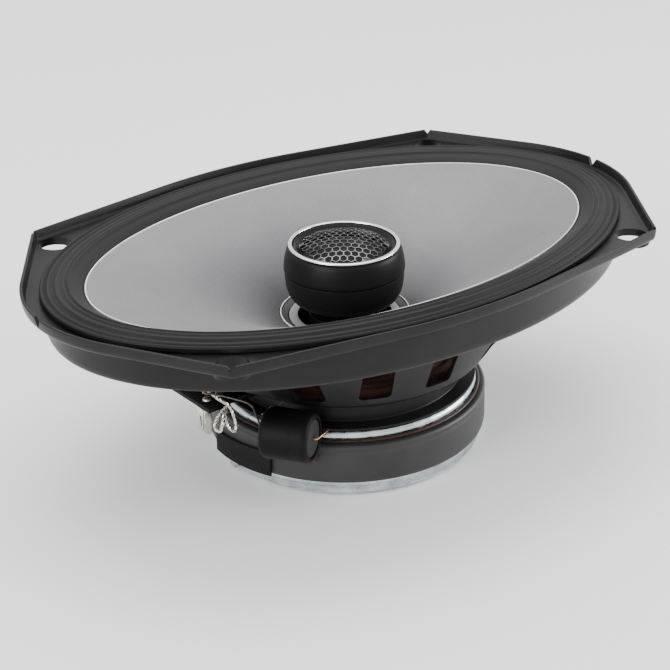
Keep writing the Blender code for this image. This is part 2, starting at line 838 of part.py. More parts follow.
def make_capacitor(sleeve_finish, can_finish, copper, glue):
    """The crossover capacitor in its shrink sleeve, glued beside the magnet boot."""
    azimuth = math.radians(CAPACITOR_AZIMUTH)
    centre = Vector((math.cos(azimuth), math.sin(azimuth), 0.0)) * CAPACITOR_DISTANCE
    centre.z = CAPACITOR_Z
    across = Vector((-math.sin(azimuth), math.cos(azimuth), 0.0))
    turn = Matrix.Rotation(azimuth + math.pi / 2, 4, "Z") @ Matrix.Rotation(math.pi / 2, 4, "Y")
    half = CAPACITOR_LENGTH / 2
    inner = CAPACITOR_RADIUS - 0.5
    sleeve = turned(
        "capacitor_sleeve",
        [
            (inner - 1.6, half),
            (inner - 0.7, half),
            (CAPACITOR_RADIUS, half - 1.4),
            (CAPACITOR_RADIUS, 1.4 - half),
            (inner - 0.7, -half),
            (inner - 1.6, -half),
            (inner - 1.6, 0.6 - half),
            (inner, 1.8 - half),
            (inner, half - 1.8),
            (inner - 1.6, half - 0.6),
        ],
        sleeve_finish,
        steps=HIDDEN_STEPS,
    )
    body = inner - GAP
    can = turned(
        "capacitor",
        [
            (0.0, half - 1.3),
            (body - 1.4, half - 1.3),
            (body, half - 2.4),
            (body, 2.4 - half),
            (body - 1.4, 1.3 - half),
            (0.0, 1.3 - half),
        ],
        can_finish,
        steps=HIDDEN_STEPS,
    )
    for piece in (sleeve, can):
        piece.matrix_world = Matrix.Translation(centre * MM) @ turn
    left = centre + across * -(half - 0.9)
    right = centre + across * (half - 0.9)
    wire(
        "capacitor_lead_input",
        [
            left,
            left - across * 2.2,
            left - across * 3.2 + Vector((-0.6, 0.0, 5.0)),
            (-57.2, -25.6, 38.6),
            (-60.6, -20.0, 39.6),
            (-63.9, -14.0, 39.6),
            (-65.2, -9.5, 38.6),
            (-63.4, -6.8, 37.0),
            (-62.2, -6.2, 35.6),
        ],
        CAPACITOR_LEAD_RADIUS,
        copper,
    )
    inward = Vector((-math.cos(azimuth), -math.sin(azimuth), 0.0))
    wire(
        "capacitor_lead_output",
        [
            right,
            right + across * 1.8,
            right + across * 2.8 + inward * 2.2 + Vector((0.0, 0.0, 0.4)),
            right + across * 3.2 + inward * 6.4,
            right + across * 2.4 + inward * 9.6 + Vector((0.0, 0.0, -0.6)),
        ],
        CAPACITOR_LEAD_RADIUS,
        copper,
    )
    wedge = [(51.0, 14.5), (52.6, 14.5), (55.6, 18.3), (52.6, 20.6), (51.0, 22.4)]
    out = Vector((math.cos(azimuth), math.sin(azimuth), 0.0))
    rings = []
    for shift in (-7.0, 7.0):
        rings.append([out * r + across * shift + Vector((0.0, 0.0, z)) for r, z in wedge])
    place("capacitor_adhesive", skin(rings, closed=False), glue)


def make_side_pad(foam, steel):
    """A plain foam pad on the boot's side, and the rivet in the yoke's edge under it."""
    start = math.radians(172.0)
    sweep = math.radians(32.0)
    inner = BOOT_RADIUS + GAP
    steps = 12
    rings = []
    for i in range(steps + 1):
        share = i / steps
        turn = start + sweep * share
        low = 4.2 + 0.9 * share
        high = 12.4 + 2.4 * share
        section = [(inner, low), (inner + 1.1, low + 0.1), (inner + 1.0, high - 0.2), (inner, high)]
        rings.append([(r * math.cos(turn), r * math.sin(turn), z) for r, z in section])
    place("side_pad", skin(rings, closed=False), foam)
    profile = [(0.0, 1.5), (1.3, 1.3), (2.2, 0.7), (2.5, 0.0), (0.0, 0.0)]
    rivet = turned("yoke_rivet", profile, steel, steps=HIDDEN_STEPS)
    azimuth = math.radians(181.0)
    centre = Vector((math.cos(azimuth), math.sin(azimuth), 0.0)) * (YOKE_RADIUS + GAP)
    centre.z = 2.5
    turn = Matrix.Rotation(azimuth, 4, "Z") @ Matrix.Rotation(math.pi / 2, 4, "Y")
    rivet.matrix_world = Matrix.Translation(centre * MM) @ turn


def build():
    clear_scene()
    black_steel = material("black_steel", (0.035, 0.035, 0.038), 0.45, 0.2)
    zinc = material("zinc", (0.68, 0.72, 0.74), 0.3, 1.0)
    steel = material("steel", (0.62, 0.62, 0.62), 0.35, 1.0)
    ferrite = material("ferrite", (0.06, 0.06, 0.065), 0.7)
    rubber = material("rubber", (0.03, 0.03, 0.033), 0.6)
    plastic = material("black_plastic", (0.025, 0.025, 0.028), 0.5)
    weave = material("woven_cone", (0.42, 0.42, 0.43), 0.45)
    collar_finish = material("collar", (0.3, 0.3, 0.3), 0.5)
    ring_finish = material("pale_ring", (0.68, 0.68, 0.68), 0.4)
    kapton = material("kapton", (0.35, 0.17, 0.05), 0.4)
    copper = material("copper", (0.72, 0.35, 0.2), 0.3, 1.0)
    cloth = material("treated_cloth", (0.12, 0.05, 0.03), 0.9)
    silk = material("silk", (0.04, 0.04, 0.045), 0.8)
    chrome = material("chrome", (0.85, 0.85, 0.86), 0.12, 1.0)
    mesh_finish = material("grille_mesh", (0.3, 0.3, 0.31), 0.35, 1.0)
    glue = material("glue", (0.2, 0.07, 0.03), 0.4)
    fibre = material("black_fibre", (0.02, 0.02, 0.02), 0.7)
    tin = material("tin", (0.8, 0.79, 0.75), 0.3, 1.0)
    braid = material("tinned_braid", (0.75, 0.74, 0.7), 0.35, 1.0)
    foam = material("foam", (0.03, 0.03, 0.032), 0.95)

    woofer_axis = bpy.data.objects.new("woofer_axis", None)
    tweeter_axis = bpy.data.objects.new("tweeter_axis", None)
    for axis in (woofer_axis, tweeter_axis):
        bpy.context.scene.collection.objects.link(axis)

    basket = make_basket(black_steel)
    make_motor(zinc, ferrite, rubber, glue)
    make_frame_rivets(basket, bpy.data.objects["front_plate"], steel)
    make_surround(rubber)
    make_spider(cloth)
    make_cone(weave, woofer_axis)
    make_coil(kapton, copper, collar_finish, ring_finish, woofer_axis)
    make_tweeter_body(plastic, chrome, mesh_finish, steel, ferrite)
    make_tweeter_diaphragm(silk, copper, tweeter_axis)
    make_terminals(basket, fibre, tin, steel)
    make_leads(braid)
    make_capacitor(rubber, ferrite, copper, glue)
    make_side_pad(foam, steel)


build()
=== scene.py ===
"""Looks for the coaxial car speaker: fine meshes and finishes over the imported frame.

Lengths are in millimetres, in the frame's own axes, and become metres when a mesh is made. The
speaker faces +Z and its long axis is X.
"""

import json
import math

import bmesh
import bpy
import numpy as np
from mathutils import Matrix, Vector


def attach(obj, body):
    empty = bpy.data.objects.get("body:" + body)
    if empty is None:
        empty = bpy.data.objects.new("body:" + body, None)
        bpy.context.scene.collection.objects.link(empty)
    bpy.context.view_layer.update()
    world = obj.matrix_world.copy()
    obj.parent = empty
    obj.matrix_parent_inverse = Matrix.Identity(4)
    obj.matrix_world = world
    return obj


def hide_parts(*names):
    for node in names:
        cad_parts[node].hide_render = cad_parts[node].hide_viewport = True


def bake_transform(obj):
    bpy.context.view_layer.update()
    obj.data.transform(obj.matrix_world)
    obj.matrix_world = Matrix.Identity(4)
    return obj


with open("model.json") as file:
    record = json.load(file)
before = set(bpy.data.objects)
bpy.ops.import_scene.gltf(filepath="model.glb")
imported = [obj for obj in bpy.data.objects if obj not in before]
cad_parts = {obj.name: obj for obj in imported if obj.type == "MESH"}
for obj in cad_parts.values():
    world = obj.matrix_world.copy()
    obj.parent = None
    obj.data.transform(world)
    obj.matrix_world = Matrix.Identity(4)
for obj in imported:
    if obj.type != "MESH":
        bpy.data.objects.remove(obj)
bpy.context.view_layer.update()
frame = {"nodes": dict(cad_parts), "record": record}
NODES = frame["nodes"]

MM = 0.001
SHARP = math.radians(38)

# The frame's flange, skirt and bowl
HALF_LENGTH = 118.5
HALF_WIDTH = 78.0
CORNER = (87.8, 64.9)
CORNER_RADIUS = 3.0
LIP_TOP = 78.0
FLOOR_TOP = 74.6
FLOOR_INSET = 1.7
SHEET = 1.2
SKIRT = (110.5, 75.0)
SKIRT_BOTTOM = 60.5
BOWL_TOP = (104.9, 61.0)
BOWL_TOP_Z = 61.3
LEDGE_RADIUS = 50.6
LEDGE_Z = 33.4
NECK_RADIUS = 41.6
SEAT_Z = 23.8
SEAT_FLANGE_RADIUS = 46.9
SEAT_FLANGE_THICKNESS = 0.9
SEAT_HOLE_RADIUS = 22.0
SLOT_OUTER = (82.9, 58.1)
SLOT_HEADING = (0.7, 0.714)
SLOT_LENGTH = 11.5
SLOT_WIDTH = 10.8
NOTCHES = ((0.0, 3.4, 4.6), (180.0, 3.4, 4.6), (36.47, 1.7, 3.0), (143.53, 1.7, 3.0), (216.47, 1.7, 3.0),
           (323.53, 1.7, 3.0))  # azimuth, depth, width
WINDOWS = ((137.5, 8.9), (114.7, 11.3), (88.7, 11.0), (57.0, 11.4), (28.0, 12.5))
LEAD_WINDOW = (180.0, 15.0)
WINDOW_LOW = 38.6
WINDOW_HIGH = 57.5
WINDOW_CORNER = 1.8

# Cone, surround and spider
CONE_EDGE = (96.8, 58.6)
CONE_EDGE_Z = 74.9
CONE_NECK_RADIUS = 23.4
CONE_NECK_Z = 46.9
CONE_THICKNESS = 0.8
CONE_FLARE = 0.35
SURROUND_WIDTH = 15.0
SPIDER_INNER = 17.45
SPIDER_RADIUS = 49.3
SPIDER_Z = 35.1

# Motor, tweeter and capacitor
PLATE_TOP = 23.5
POD_TOP = 72.6
PARTING_Z = 63.7
GRILLE_RADIUS = 15.9
GRILLE_RIM_Z = 72.3
GRILLE_RISE = 3.8
GRILLE_PITCH = 2.62
GRILLE_WALL = 0.34
YOKE_RIVET_REACH = 49.1
YOKE_RIVET_Z = 2.5
CAPACITOR_RADIUS = 8.9
CAPACITOR_HALF = 8.6
CAPACITOR_AZIMUTH = math.radians(216.0)
CAPACITOR_CENTRE = Vector((-47.732, -34.679, 27.9))

FLOOR_Z = -0.001
OVAL_STEPS = 384
ROUND_STEPS = 160


# ---------------------------------------------------------------- camera

def aim_camera():
    """The camera at the photograph's viewing angle."""
    right = Vector((0.807, -0.591, -0.008)).normalized()
    ahead = Vector((0.527, 0.726, -0.442)).normalized()
    up = right.cross(ahead).normalized()
    right = ahead.cross(up).normalized()
    turn = Matrix((right, up, -ahead)).transposed().to_4x4()
    data = bpy.data.cameras.new("camera")
    data.sensor_width = 36.0
    data.lens = 93.68
    data.shift_x = -0.04627
    data.clip_start = 0.01
    camera = bpy.data.objects.new("camera", data)
    bpy.context.scene.collection.objects.link(camera)
    camera.matrix_world = Matrix.Translation((-0.3244, -0.4595, 0.3142)) @ turn
    bpy.context.scene.camera = camera


# ---------------------------------------------------------------- finishes

class Graph:
    """A small helper that adds nodes to one material and links them."""

    def __init__(self, name):
        self.material = bpy.data.materials.new(name)
        self.material.use_nodes = True
        self.tree = self.material.node_tree
        self.shader = self.tree.nodes["Principled BSDF"]
        self.place = self.add("ShaderNodeTexCoord").outputs["Object"]

    def add(self, kind, **settings):
        node = self.tree.nodes.new(kind)
        for key, value in settings.items():
            setattr(node, key, value)
        return node

    def feed(self, socket, value):
        if isinstance(value, bpy.types.NodeSocket):
            self.tree.links.new(value, socket)
        else:
            socket.default_value = value

    def noise(self, scale, detail=4.0, where=None, roughness=0.55):
        node = self.add("ShaderNodeTexNoise")
        self.feed(node.inputs["Vector"], self.place if where is None else where)
        node.inputs["Scale"].default_value = scale
        node.inputs["Detail"].default_value = detail
        node.inputs["Roughness"].default_value = roughness
        return node.outputs["Fac"]

    def math(self, operation, a, b=0.0, c=0.0):
        node = self.add("ShaderNodeMath", operation=operation)
        for socket, value in zip(node.inputs, (a, b, c)):
            self.feed(socket, value)
        return node.outputs[0]

    def ranged(self, value, low, high, to_low, to_high):
        node = self.add("ShaderNodeMapRange")
        for key, item in zip(("Value", "From Min", "From Max", "To Min", "To Max"),
                             (value, low, high, to_low, to_high)):
            self.feed(node.inputs[key], item)
        return node.outputs["Result"]

    def mixed(self, share, dark, light):
        node = self.add("ShaderNodeMix", data_type="RGBA")
        self.feed(node.inputs[0], share)
        for socket, colour in ((node.inputs[6], dark), (node.inputs[7], light)):
            self.feed(socket, colour if isinstance(colour, bpy.types.NodeSocket) else (*colour, 1.0))
        return node.outputs[2]

    def axes(self):
        node = self.add("ShaderNodeSeparateXYZ")
        self.feed(node.inputs[0], self.place)
        return node.outputs

    def radius(self):
        """Distance from the speaker's axis, in metres."""
        x, y, _ = self.axes()
        return self.math("SQRT", self.math("ADD", self.math("MULTIPLY", x, x), self.math("MULTIPLY", y, y)))

    def stretched(self, x, y, z):
        node = self.add("ShaderNodeVectorMath", operation="MULTIPLY")
        self.feed(node.inputs[0], self.place)
        node.inputs[1].default_value = (x, y, z)
        return node.outputs[0]

    def bump(self, height, distance, strength=1.0, below=None):
        node = self.add("ShaderNodeBump")
        node.inputs["Strength"].default_value = strength
        node.inputs["Distance"].default_value = distance
        self.feed(node.inputs["Height"], height)
        if below is not None:
            self.feed(node.inputs["Normal"], below)
        return node.outputs["Normal"]

    def done(self, colour, roughness, normal, metallic=0.0, specular=0.5, coat=0.0, sheen=0.0):
        inputs = self.shader.inputs
        self.feed(inputs["Base Color"], colour)
        self.feed(inputs["Roughness"], roughness)
        self.feed(inputs["Normal"], normal)
        inputs["Metallic"].default_value = metallic
        inputs["Specular IOR Level"].default_value = specular
        inputs["Coat Weight"].default_value = coat
        inputs["Coat Roughness"].default_value = 0.25
        inputs["Sheen Weight"].default_value = sheen
        inputs["Sheen Roughness"].default_value = 0.5
        return self.material


def clouded(name, dark, light, rough, grain=2600.0, depth=0.03, spread=0.06, cloud=55.0, **shading):
    """A general finish: cloudy tint and gloss, with a fine grain over a slow unevenness."""
    graph = Graph(name)
    clouds = graph.noise(cloud, 5.0)
    fine = graph.noise(grain, 3.0)
    colour = graph.mixed(graph.ranged(clouds, 0.3, 0.7, 0.0, 1.0), dark, light)
    roughness = graph.ranged(fine, 0.3, 0.7, rough - spread, rough + spread)
    slow = graph.bump(clouds, 0.05 * MM)
    normal = graph.bump(fine, depth * MM, below=slow)
    return graph.done(colour, roughness, normal, **shading)


def spun_metal(name, dark, light, rough, streak=(40.0, 40.0, 1400.0)):
    """Bright plated metal with streaks round it and small stains."""
    graph = Graph(name)
    lines = graph.noise(1.0, 4.0, graph.stretched(*streak))
    stain = graph.noise(170.0, 6.0)
    speck = graph.noise(900.0, 2.0)
    share = graph.math("ADD", graph.math("MULTIPLY", lines, 0.5), graph.math("MULTIPLY", stain, 0.5))
    colour = graph.mixed(graph.ranged(share, 0.38, 0.62, 0.0, 1.0), dark, light)
    roughness = graph.ranged(stain, 0.35, 0.65, rough - 0.09, rough + 0.12)
    normal = graph.bump(lines, 0.03 * MM, below=graph.bump(speck, 0.02 * MM))
    return graph.done(colour, roughness, normal, metallic=1.0)


def woven_cone():
    """Silver-grey woven cone: a plain weave of fine yarns, with painted shade darkening it toward the neck.
    """
    graph = Graph("woven_cone")
    x, y, _ = graph.axes()
    wander = graph.ranged(graph.noise(60.0, 3.0), 0.3, 0.7, -0.25, 0.25)
    yarn = 2 * math.pi / (1.08 * MM)
    across = graph.math("SINE", graph.math("ADD", graph.math("MULTIPLY", x, yarn), wander))
    along = graph.math("SINE", graph.math("ADD", graph.math("MULTIPLY", y, yarn), wander))
    knots = graph.math("MULTIPLY", across, along)
    fibres = graph.noise(1.0, 3.0, graph.stretched(4200.0, 900.0, 900.0))
    clouds = graph.noise(38.0, 5.0)
    weave = graph.ranged(knots, -1.0, 1.0, 0.0, 1.0)
    tint = graph.math("ADD", graph.math("MULTIPLY", weave, 0.55), graph.math("MULTIPLY", clouds, 0.45))
    cloth = graph.mixed(graph.ranged(tint, 0.25, 0.75, 0.0, 1.0), (0.165, 0.162, 0.169), (0.24, 0.236, 0.245))
    # Painted shade: toward the neck, under the tweeter, the cloth is mixed toward near-black.
    inner = graph.ranged(graph.radius(), 0.024, 0.044, 0.6, 0.0)
    colour = graph.mixed(inner, cloth, (0.05, 0.05, 0.052))
    roughness = graph.ranged(fibres, 0.3, 0.7, 0.44, 0.6)
    normal = graph.bump(weave, 0.06 * MM, 0.7, graph.bump(clouds, 0.12 * MM))
    return graph.done(colour, roughness, normal, metallic=0.25, specular=0.3)


def moulded_rubber(name, dark, light, rough, specular):
    """Matte rubber with faint bloom, fine pores and a few dust specks."""
    graph = Graph(name)
    bloom = graph.noise(42.0, 6.0)
    pores = graph.noise(3100.0, 2.0)
    specks = graph.noise(1300.0, 1.0)
    base = graph.mixed(graph.ranged(bloom, 0.35, 0.68, 0.0, 1.0), dark, light)
    dust = graph.ranged(specks, 0.74, 0.8, 0.0, 0.5)
    colour = graph.mixed(dust, base, (0.03, 0.03, 0.03))
    roughness = graph.ranged(bloom, 0.3, 0.7, rough - 0.05, rough + 0.07)
    normal = graph.bump(pores, 0.035 * MM, below=graph.bump(bloom, 0.06 * MM))
    return graph.done(colour, roughness, normal, specular=specular)


def treated_cloth():
    """Dark red-brown resin-treated weave of the spider."""
    graph = Graph("treated_cloth")
    x, y, _ = graph.axes()
    yarn = 2 * math.pi / (0.8 * MM)
    knots = graph.math("MULTIPLY", graph.math("SINE", graph.math("MULTIPLY", x, yarn)),
                       graph.math("SINE", graph.math("MULTIPLY", y, yarn)))
    resin = graph.noise(120.0, 5.0)
    weave = graph.ranged(knots, -1.0, 1.0, 0.0, 1.0)
    share = graph.math("ADD", graph.math("MULTIPLY", weave, 0.4), graph.math("MULTIPLY", resin, 0.6))
    colour = graph.mixed(graph.ranged(share, 0.3, 0.7, 0.0, 1.0), (0.04, 0.015, 0.011), (0.15, 0.058, 0.036))
    roughness = graph.ranged(resin, 0.3, 0.7, 0.55, 0.8)
    normal = graph.bump(weave, 0.08 * MM, 0.8, graph.bump(resin, 0.1 * MM))
    return graph.done(colour, roughness, normal, specular=0.4)


def enamelled_lead():
    """Dark enamelled wire whose bared end by the rivet is copper."""
    graph = Graph("enamelled_lead")
    _, y, _ = graph.axes()
    bared = graph.ranged(y, -0.0098, -0.0086, 0.0, 1.0)
    stain = graph.noise(700.0, 4.0)
    enamel = graph.mixed(stain, (0.03, 0.022, 0.018), (0.1, 0.08, 0.07))
    copper = graph.mixed(stain, (0.5, 0.16, 0.06), (0.85, 0.36, 0.18))
    colour = graph.mixed(bared, enamel, copper)
    roughness = graph.ranged(stain, 0.3, 0.7, 0.22, 0.36)
    return graph.done(colour, roughness, graph.bump(stain, 0.02 * MM), metallic=0.7)


def make_finishes():
    """Every finish by name: the record's material slots, then some details of them."""
    return {
        "black_steel": clouded("black_steel", (0.0062, 0.006, 0.0066), (0.0105, 0.0102, 0.011), 0.36,
                               grain=2400.0, depth=0.03, specular=0.17),
        "zinc": spun_metal("zinc", (0.34, 0.38, 0.4), (0.72, 0.77, 0.79), 0.27),
        "steel": spun_metal("steel", (0.35, 0.35, 0.34), (0.72, 0.71, 0.69), 0.28),
        "ferrite": clouded("ferrite", (0.009, 0.009, 0.01), (0.018, 0.018, 0.019), 0.6,
                           grain=1700.0, depth=0.05, specular=0.25),
        "rubber": moulded_rubber("rubber", (0.0055, 0.0053, 0.0059), (0.0095, 0.0092, 0.0101), 0.5, 0.2),
        "shrink_sleeve": moulded_rubber("shrink_sleeve", (0.0022, 0.0021, 0.0024), (0.0042, 0.004, 0.0045),
                                        0.52, 0.11),
        "black_plastic": clouded("black_plastic", (0.0042, 0.0041, 0.0045), (0.0075, 0.0073, 0.008), 0.42,
                                 grain=3000.0, depth=0.025, specular=0.14),
        "woven_cone": woven_cone(),
        "collar": clouded("collar", (0.045, 0.045, 0.047), (0.08, 0.08, 0.083), 0.4, grain=2200.0),
        "pale_ring": clouded("pale_ring", (0.24, 0.24, 0.25), (0.38, 0.38, 0.39), 0.4, grain=1500.0),
        "kapton": clouded("kapton", (0.006, 0.005, 0.005), (0.014, 0.01, 0.009), 0.4, grain=1100.0,
                          specular=0.2),
        "copper": spun_metal("copper", (0.5, 0.17, 0.07), (0.84, 0.38, 0.2), 0.25, (300.0, 300.0, 300.0)),
        "treated_cloth": treated_cloth(),
        "silk": clouded("silk", (0.005, 0.005, 0.006), (0.012, 0.012, 0.013), 0.62, grain=3600.0, depth=0.06,
                        specular=0.2, sheen=0.05),
        "chrome": spun_metal("chrome", (0.86, 0.86, 0.87), (0.97, 0.97, 0.98), 0.12, (60.0, 60.0, 900.0)),
        "grille_mesh": spun_metal("grille_mesh", (0.07, 0.07, 0.072), (0.2, 0.2, 0.205), 0.3,
                                  (600.0, 600.0, 600.0)),
        "glue": clouded("glue", (0.012, 0.008, 0.006), (0.045, 0.018, 0.01), 0.4, grain=700.0, depth=0.2,
                        cloud=240.0, specular=0.3),
        "black_fibre": clouded("black_fibre", (0.004, 0.004, 0.004), (0.01, 0.01, 0.01), 0.66,
                               grain=1500.0, depth=0.06, cloud=320.0, specular=0.15),
        "tin": spun_metal("tin", (0.5, 0.48, 0.42), (0.88, 0.87, 0.82), 0.26, (500.0, 500.0, 60.0)),
        "tinned_braid": spun_metal("tinned_braid", (0.42, 0.41, 0.36), (0.92, 0.9, 0.84), 0.22,
                                   (1500.0, 1500.0, 1500.0)),
        "foam": clouded("foam", (0.007, 0.0068, 0.0075), (0.012, 0.0117, 0.0127), 0.85, grain=1900.0,
                        depth=0.12, cloud=400.0, specular=0.15),
        "boot_rubber": moulded_rubber("boot_rubber", (0.02, 0.0197, 0.0208), (0.03, 0.0295, 0.031),
                                      0.42, 0.35),
        # Pale finish painted as the highlight line along the cone's cut edges.
        "edge_highlight": clouded("edge_highlight", (0.66, 0.66, 0.67), (0.86, 0.86, 0.87), 0.35, grain=1800.0),
        "enamelled_lead": enamelled_lead(),
        "dull_glue": clouded("dull_glue", (0.03, 0.03, 0.03), (0.11, 0.108, 0.105), 0.3, grain=900.0,
                             depth=0.08, cloud=300.0),
        "solder": clouded("solder", (0.16, 0.15, 0.12), (0.4, 0.38, 0.33), 0.3, grain=800.0, depth=0.1,
                          cloud=420.0, metallic=0.8),
    }


# ---------------------------------------------------------------- meshes

def softened(corners, soft, closed=True, steps=5):
    """Round the corners of (distance, height) profiles with short parabolas.

    corners may carry leading axes; soft is a length for each corner, or one for all of them.
    """
    corners = np.asarray(corners, float)
    count = corners.shape[-2]
    soft = np.broadcast_to(np.asarray(soft, float), (count,))

    def toward(shift):
        run = np.roll(corners, shift, axis=-2) - corners
        length = np.linalg.norm(run, axis=-1, keepdims=True)
        return corners + run * np.minimum(soft[:, None], 0.45 * length) / np.maximum(length, 1e-9)

    start, end = toward(1), toward(-1)
    if not closed:
        for edge in (0, -1):
            start[..., edge, :] = end[..., edge, :] = corners[..., edge, :]
    t = np.linspace(0.0, 1.0, steps)[:, None]
    curve = ((1 - t) ** 2 * start[..., None, :] + 2 * t * (1 - t) * corners[..., None, :]
             + t**2 * end[..., None, :])
    return curve.reshape(*corners.shape[:-2], count * steps, 2)


def shape(name, mesh, finish):
    """Turn a bmesh in millimetres into a smooth-shaded piece."""
    bmesh.ops.recalc_face_normals(mesh, faces=mesh.faces)
    bmesh.ops.scale(mesh, vec=(MM, MM, MM), verts=mesh.verts)
    data = bpy.data.meshes.new(name)
    mesh.to_mesh(data)
    mesh.free()
    data.shade_smooth()
    data.set_sharp_from_angle(angle=SHARP)
    data.materials.append(FINISHES[finish])
    piece = bpy.data.objects.new(name, data)
    bpy.context.scene.collection.objects.link(piece)
    return piece


def woven(grid, wrap_rows=True, wrap_columns=True):
    """A bmesh over a grid of points, (rows, columns, 3), joined round on either axis."""
    rows, columns = grid.shape[:2]
    row = np.arange(rows if wrap_rows else rows - 1)[:, None]
    column = np.arange(columns if wrap_columns else columns - 1)[None, :]
    below, beside = (row + 1) % rows, (column + 1) % columns
    faces = np.stack([row * columns + column, row * columns + beside,
                      below * columns + beside, below * columns + column], axis=-1).reshape(-1, 4)
    data = bpy.data.meshes.new("grid")
    data.from_pydata(grid.reshape(-1, 3).tolist(), [], faces.tolist())
    mesh = bmesh.new()
    mesh.from_mesh(data)
    bpy.data.meshes.remove(data)
    bmesh.ops.remove_doubles(mesh, verts=mesh.verts, dist=1e-5)
    return mesh


def capped_tube(rings):
    """A bmesh through rings of points with both ends closed by a fan."""
    rings = np.asarray(rings, float)
    ends = [np.repeat(ring.mean(axis=0)[None], len(ring), axis=0) for ring in (rings[0], rings[-1])]
    return woven(np.concatenate([ends[0][None], rings, ends[1][None]]), wrap_rows=False)


def lathe_mesh(profile, soft, steps=ROUND_STEPS):
    """A turned bmesh from (radius, z) corners; solid where the profile starts on the axis."""
    closed = profile[0][0] > 0.0
    line = softened(profile, soft, closed)
    turns = np.linspace(0.0, 2 * math.pi, steps, endpoint=False)
    grid = np.empty((len(line), steps, 3))
    grid[..., 0] = line[:, :1] * np.cos(turns)
    grid[..., 1] = line[:, :1] * np.sin(turns)
    grid[..., 2] = line[:, 1:]
    return woven(grid, wrap_rows=closed)


def support_reach(azimuths):
    """Distance from the axis to the flange outline along each azimuth."""
    headings = np.radians(np.arange(0.0, 360.0, 0.2))
    along, across = np.abs(np.cos(headings)), np.abs(np.sin(headings))
    backed = CORNER_RADIUS / math.sqrt(2)
    corner = (CORNER[0] - backed) * along + (CORNER[1] - backed) * across + CORNER_RADIUS
    support = np.maximum(np.hypot(HALF_LENGTH * along, HALF_WIDTH * across), corner)

    def reach(inset):
        facing = np.cos(headings[None, :] - azimuths[:, None])
        spans = np.where(facing > 0.05, (support - inset)[None, :] / np.maximum(facing, 0.05), 1e9)
        return spans.min(axis=1)

    return reach


def ellipse_reach(azimuths, half_axes):
    """Distance from the axis to an ellipse along each azimuth."""
    return 1.0 / np.hypot(np.cos(azimuths) / half_axes[0], np.sin(azimuths) / half_axes[1])


def oval_azimuths(refined=False):
    """Azimuths spread evenly along the oval, closer at the screw corners if asked."""
    turns = np.linspace(0.0, 2 * math.pi, OVAL_STEPS, endpoint=False)
    even = np.mod(np.arctan2(HALF_WIDTH * np.sin(turns), HALF_LENGTH * np.cos(turns)), 2 * math.pi)
    if not refined:
        return np.sort(even)
    tip = math.atan2(CORNER[1], CORNER[0])
    tips = np.array([tip, math.pi - tip, math.pi + tip, 2 * math.pi - tip])
    near = np.min(np.abs(even[:, None] - tips[None, :]), axis=1)
    fine = (tips[:, None] + np.radians(np.arange(-2.4, 2.41, 0.3))[None, :]).ravel()
    return np.sort(np.concatenate([even[near > math.radians(2.5)], fine]))


def swept(profiles, azimuths):
    """A grid of points from (azimuths, points, 2) profiles of reach and height."""
    grid = np.empty((*profiles.shape[:2], 3))
    grid[..., 0] = profiles[..., 0] * np.cos(azimuths)[:, None]
    grid[..., 1] = profiles[..., 0] * np.sin(azimuths)[:, None]
    grid[..., 2] = profiles[..., 1]
    return grid


def smooth_route(points, spacing=0.6):
    """Points evenly read from a Catmull-Rom curve through a listed route."""
    route = np.asarray(points, float)
    padded = np.vstack([2 * route[0] - route[1], route, 2 * route[-1] - route[-2]])
    dense = []
    for a, b, c, d in zip(padded, padded[1:], padded[2:], padded[3:]):
        t = np.linspace(0.0, 1.0, 40, endpoint=False)[:, None]
        dense.append(0.5 * (2 * b + (c - a) * t + (2 * a - 5 * b + 4 * c - d) * t**2
                            + (3 * b - 3 * c + d - a) * t**3))
    dense = np.vstack([*dense, route[-1]])
    travelled = np.concatenate([[0.0], np.cumsum(np.linalg.norm(np.diff(dense, axis=0), axis=1))])
    marks = np.linspace(0.0, travelled[-1], max(3, int(travelled[-1] / spacing)))
    return np.stack([np.interp(marks, travelled, dense[:, axis]) for axis in range(3)], axis=1), marks


def frames_along(path):
    """Two side vectors at every point of a path that never twist suddenly."""
    tangents = np.gradient(path, axis=0)
    tangents /= np.linalg.norm(tangents, axis=1, keepdims=True)
    side = np.cross(tangents[0], (0.3, 0.2, 1.0))
    sides = []
    for tangent in tangents:
        side = side - tangent * np.dot(side, tangent)
        side = side / np.linalg.norm(side)
        sides.append(side)
    sides = np.array(sides)
    return sides, np.cross(tangents, sides)


def strand(points, radius, sides=12, offset=0.0, phase=0.0, pitch=1.0, taper=0.0):
    """A bmesh tube along a route; with an offset it winds round the route like one strand of a rope."""
    path, marks = smooth_route(points)
    a, b = frames_along(path)
    if offset:
        turn = 2 * math.pi * marks / pitch + phase
        path = path + offset * (np.cos(turn)[:, None] * a + np.sin(turn)[:, None] * b)
        a, b = frames_along(path)
    around = np.linspace(0.0, 2 * math.pi, sides, endpoint=False)
    reach = radius * (1.0 - taper * marks / marks[-1])
    ring = np.cos(around)[None, :, None] * a[:, None, :] + np.sin(around)[None, :, None] * b[:, None, :]
    return capped_tube(path[:, None, :] + reach[:, None, None] * ring)


def together(meshes):
    """Several bmeshes as one."""
    whole = bmesh.new()
    for part in meshes:
        bmesh.ops.recalc_face_normals(part, faces=part.faces)
        data = bpy.data.meshes.new("part")
        part.to_mesh(data)
        part.free()
        whole.from_mesh(data)
        bpy.data.meshes.remove(data)
    return whole


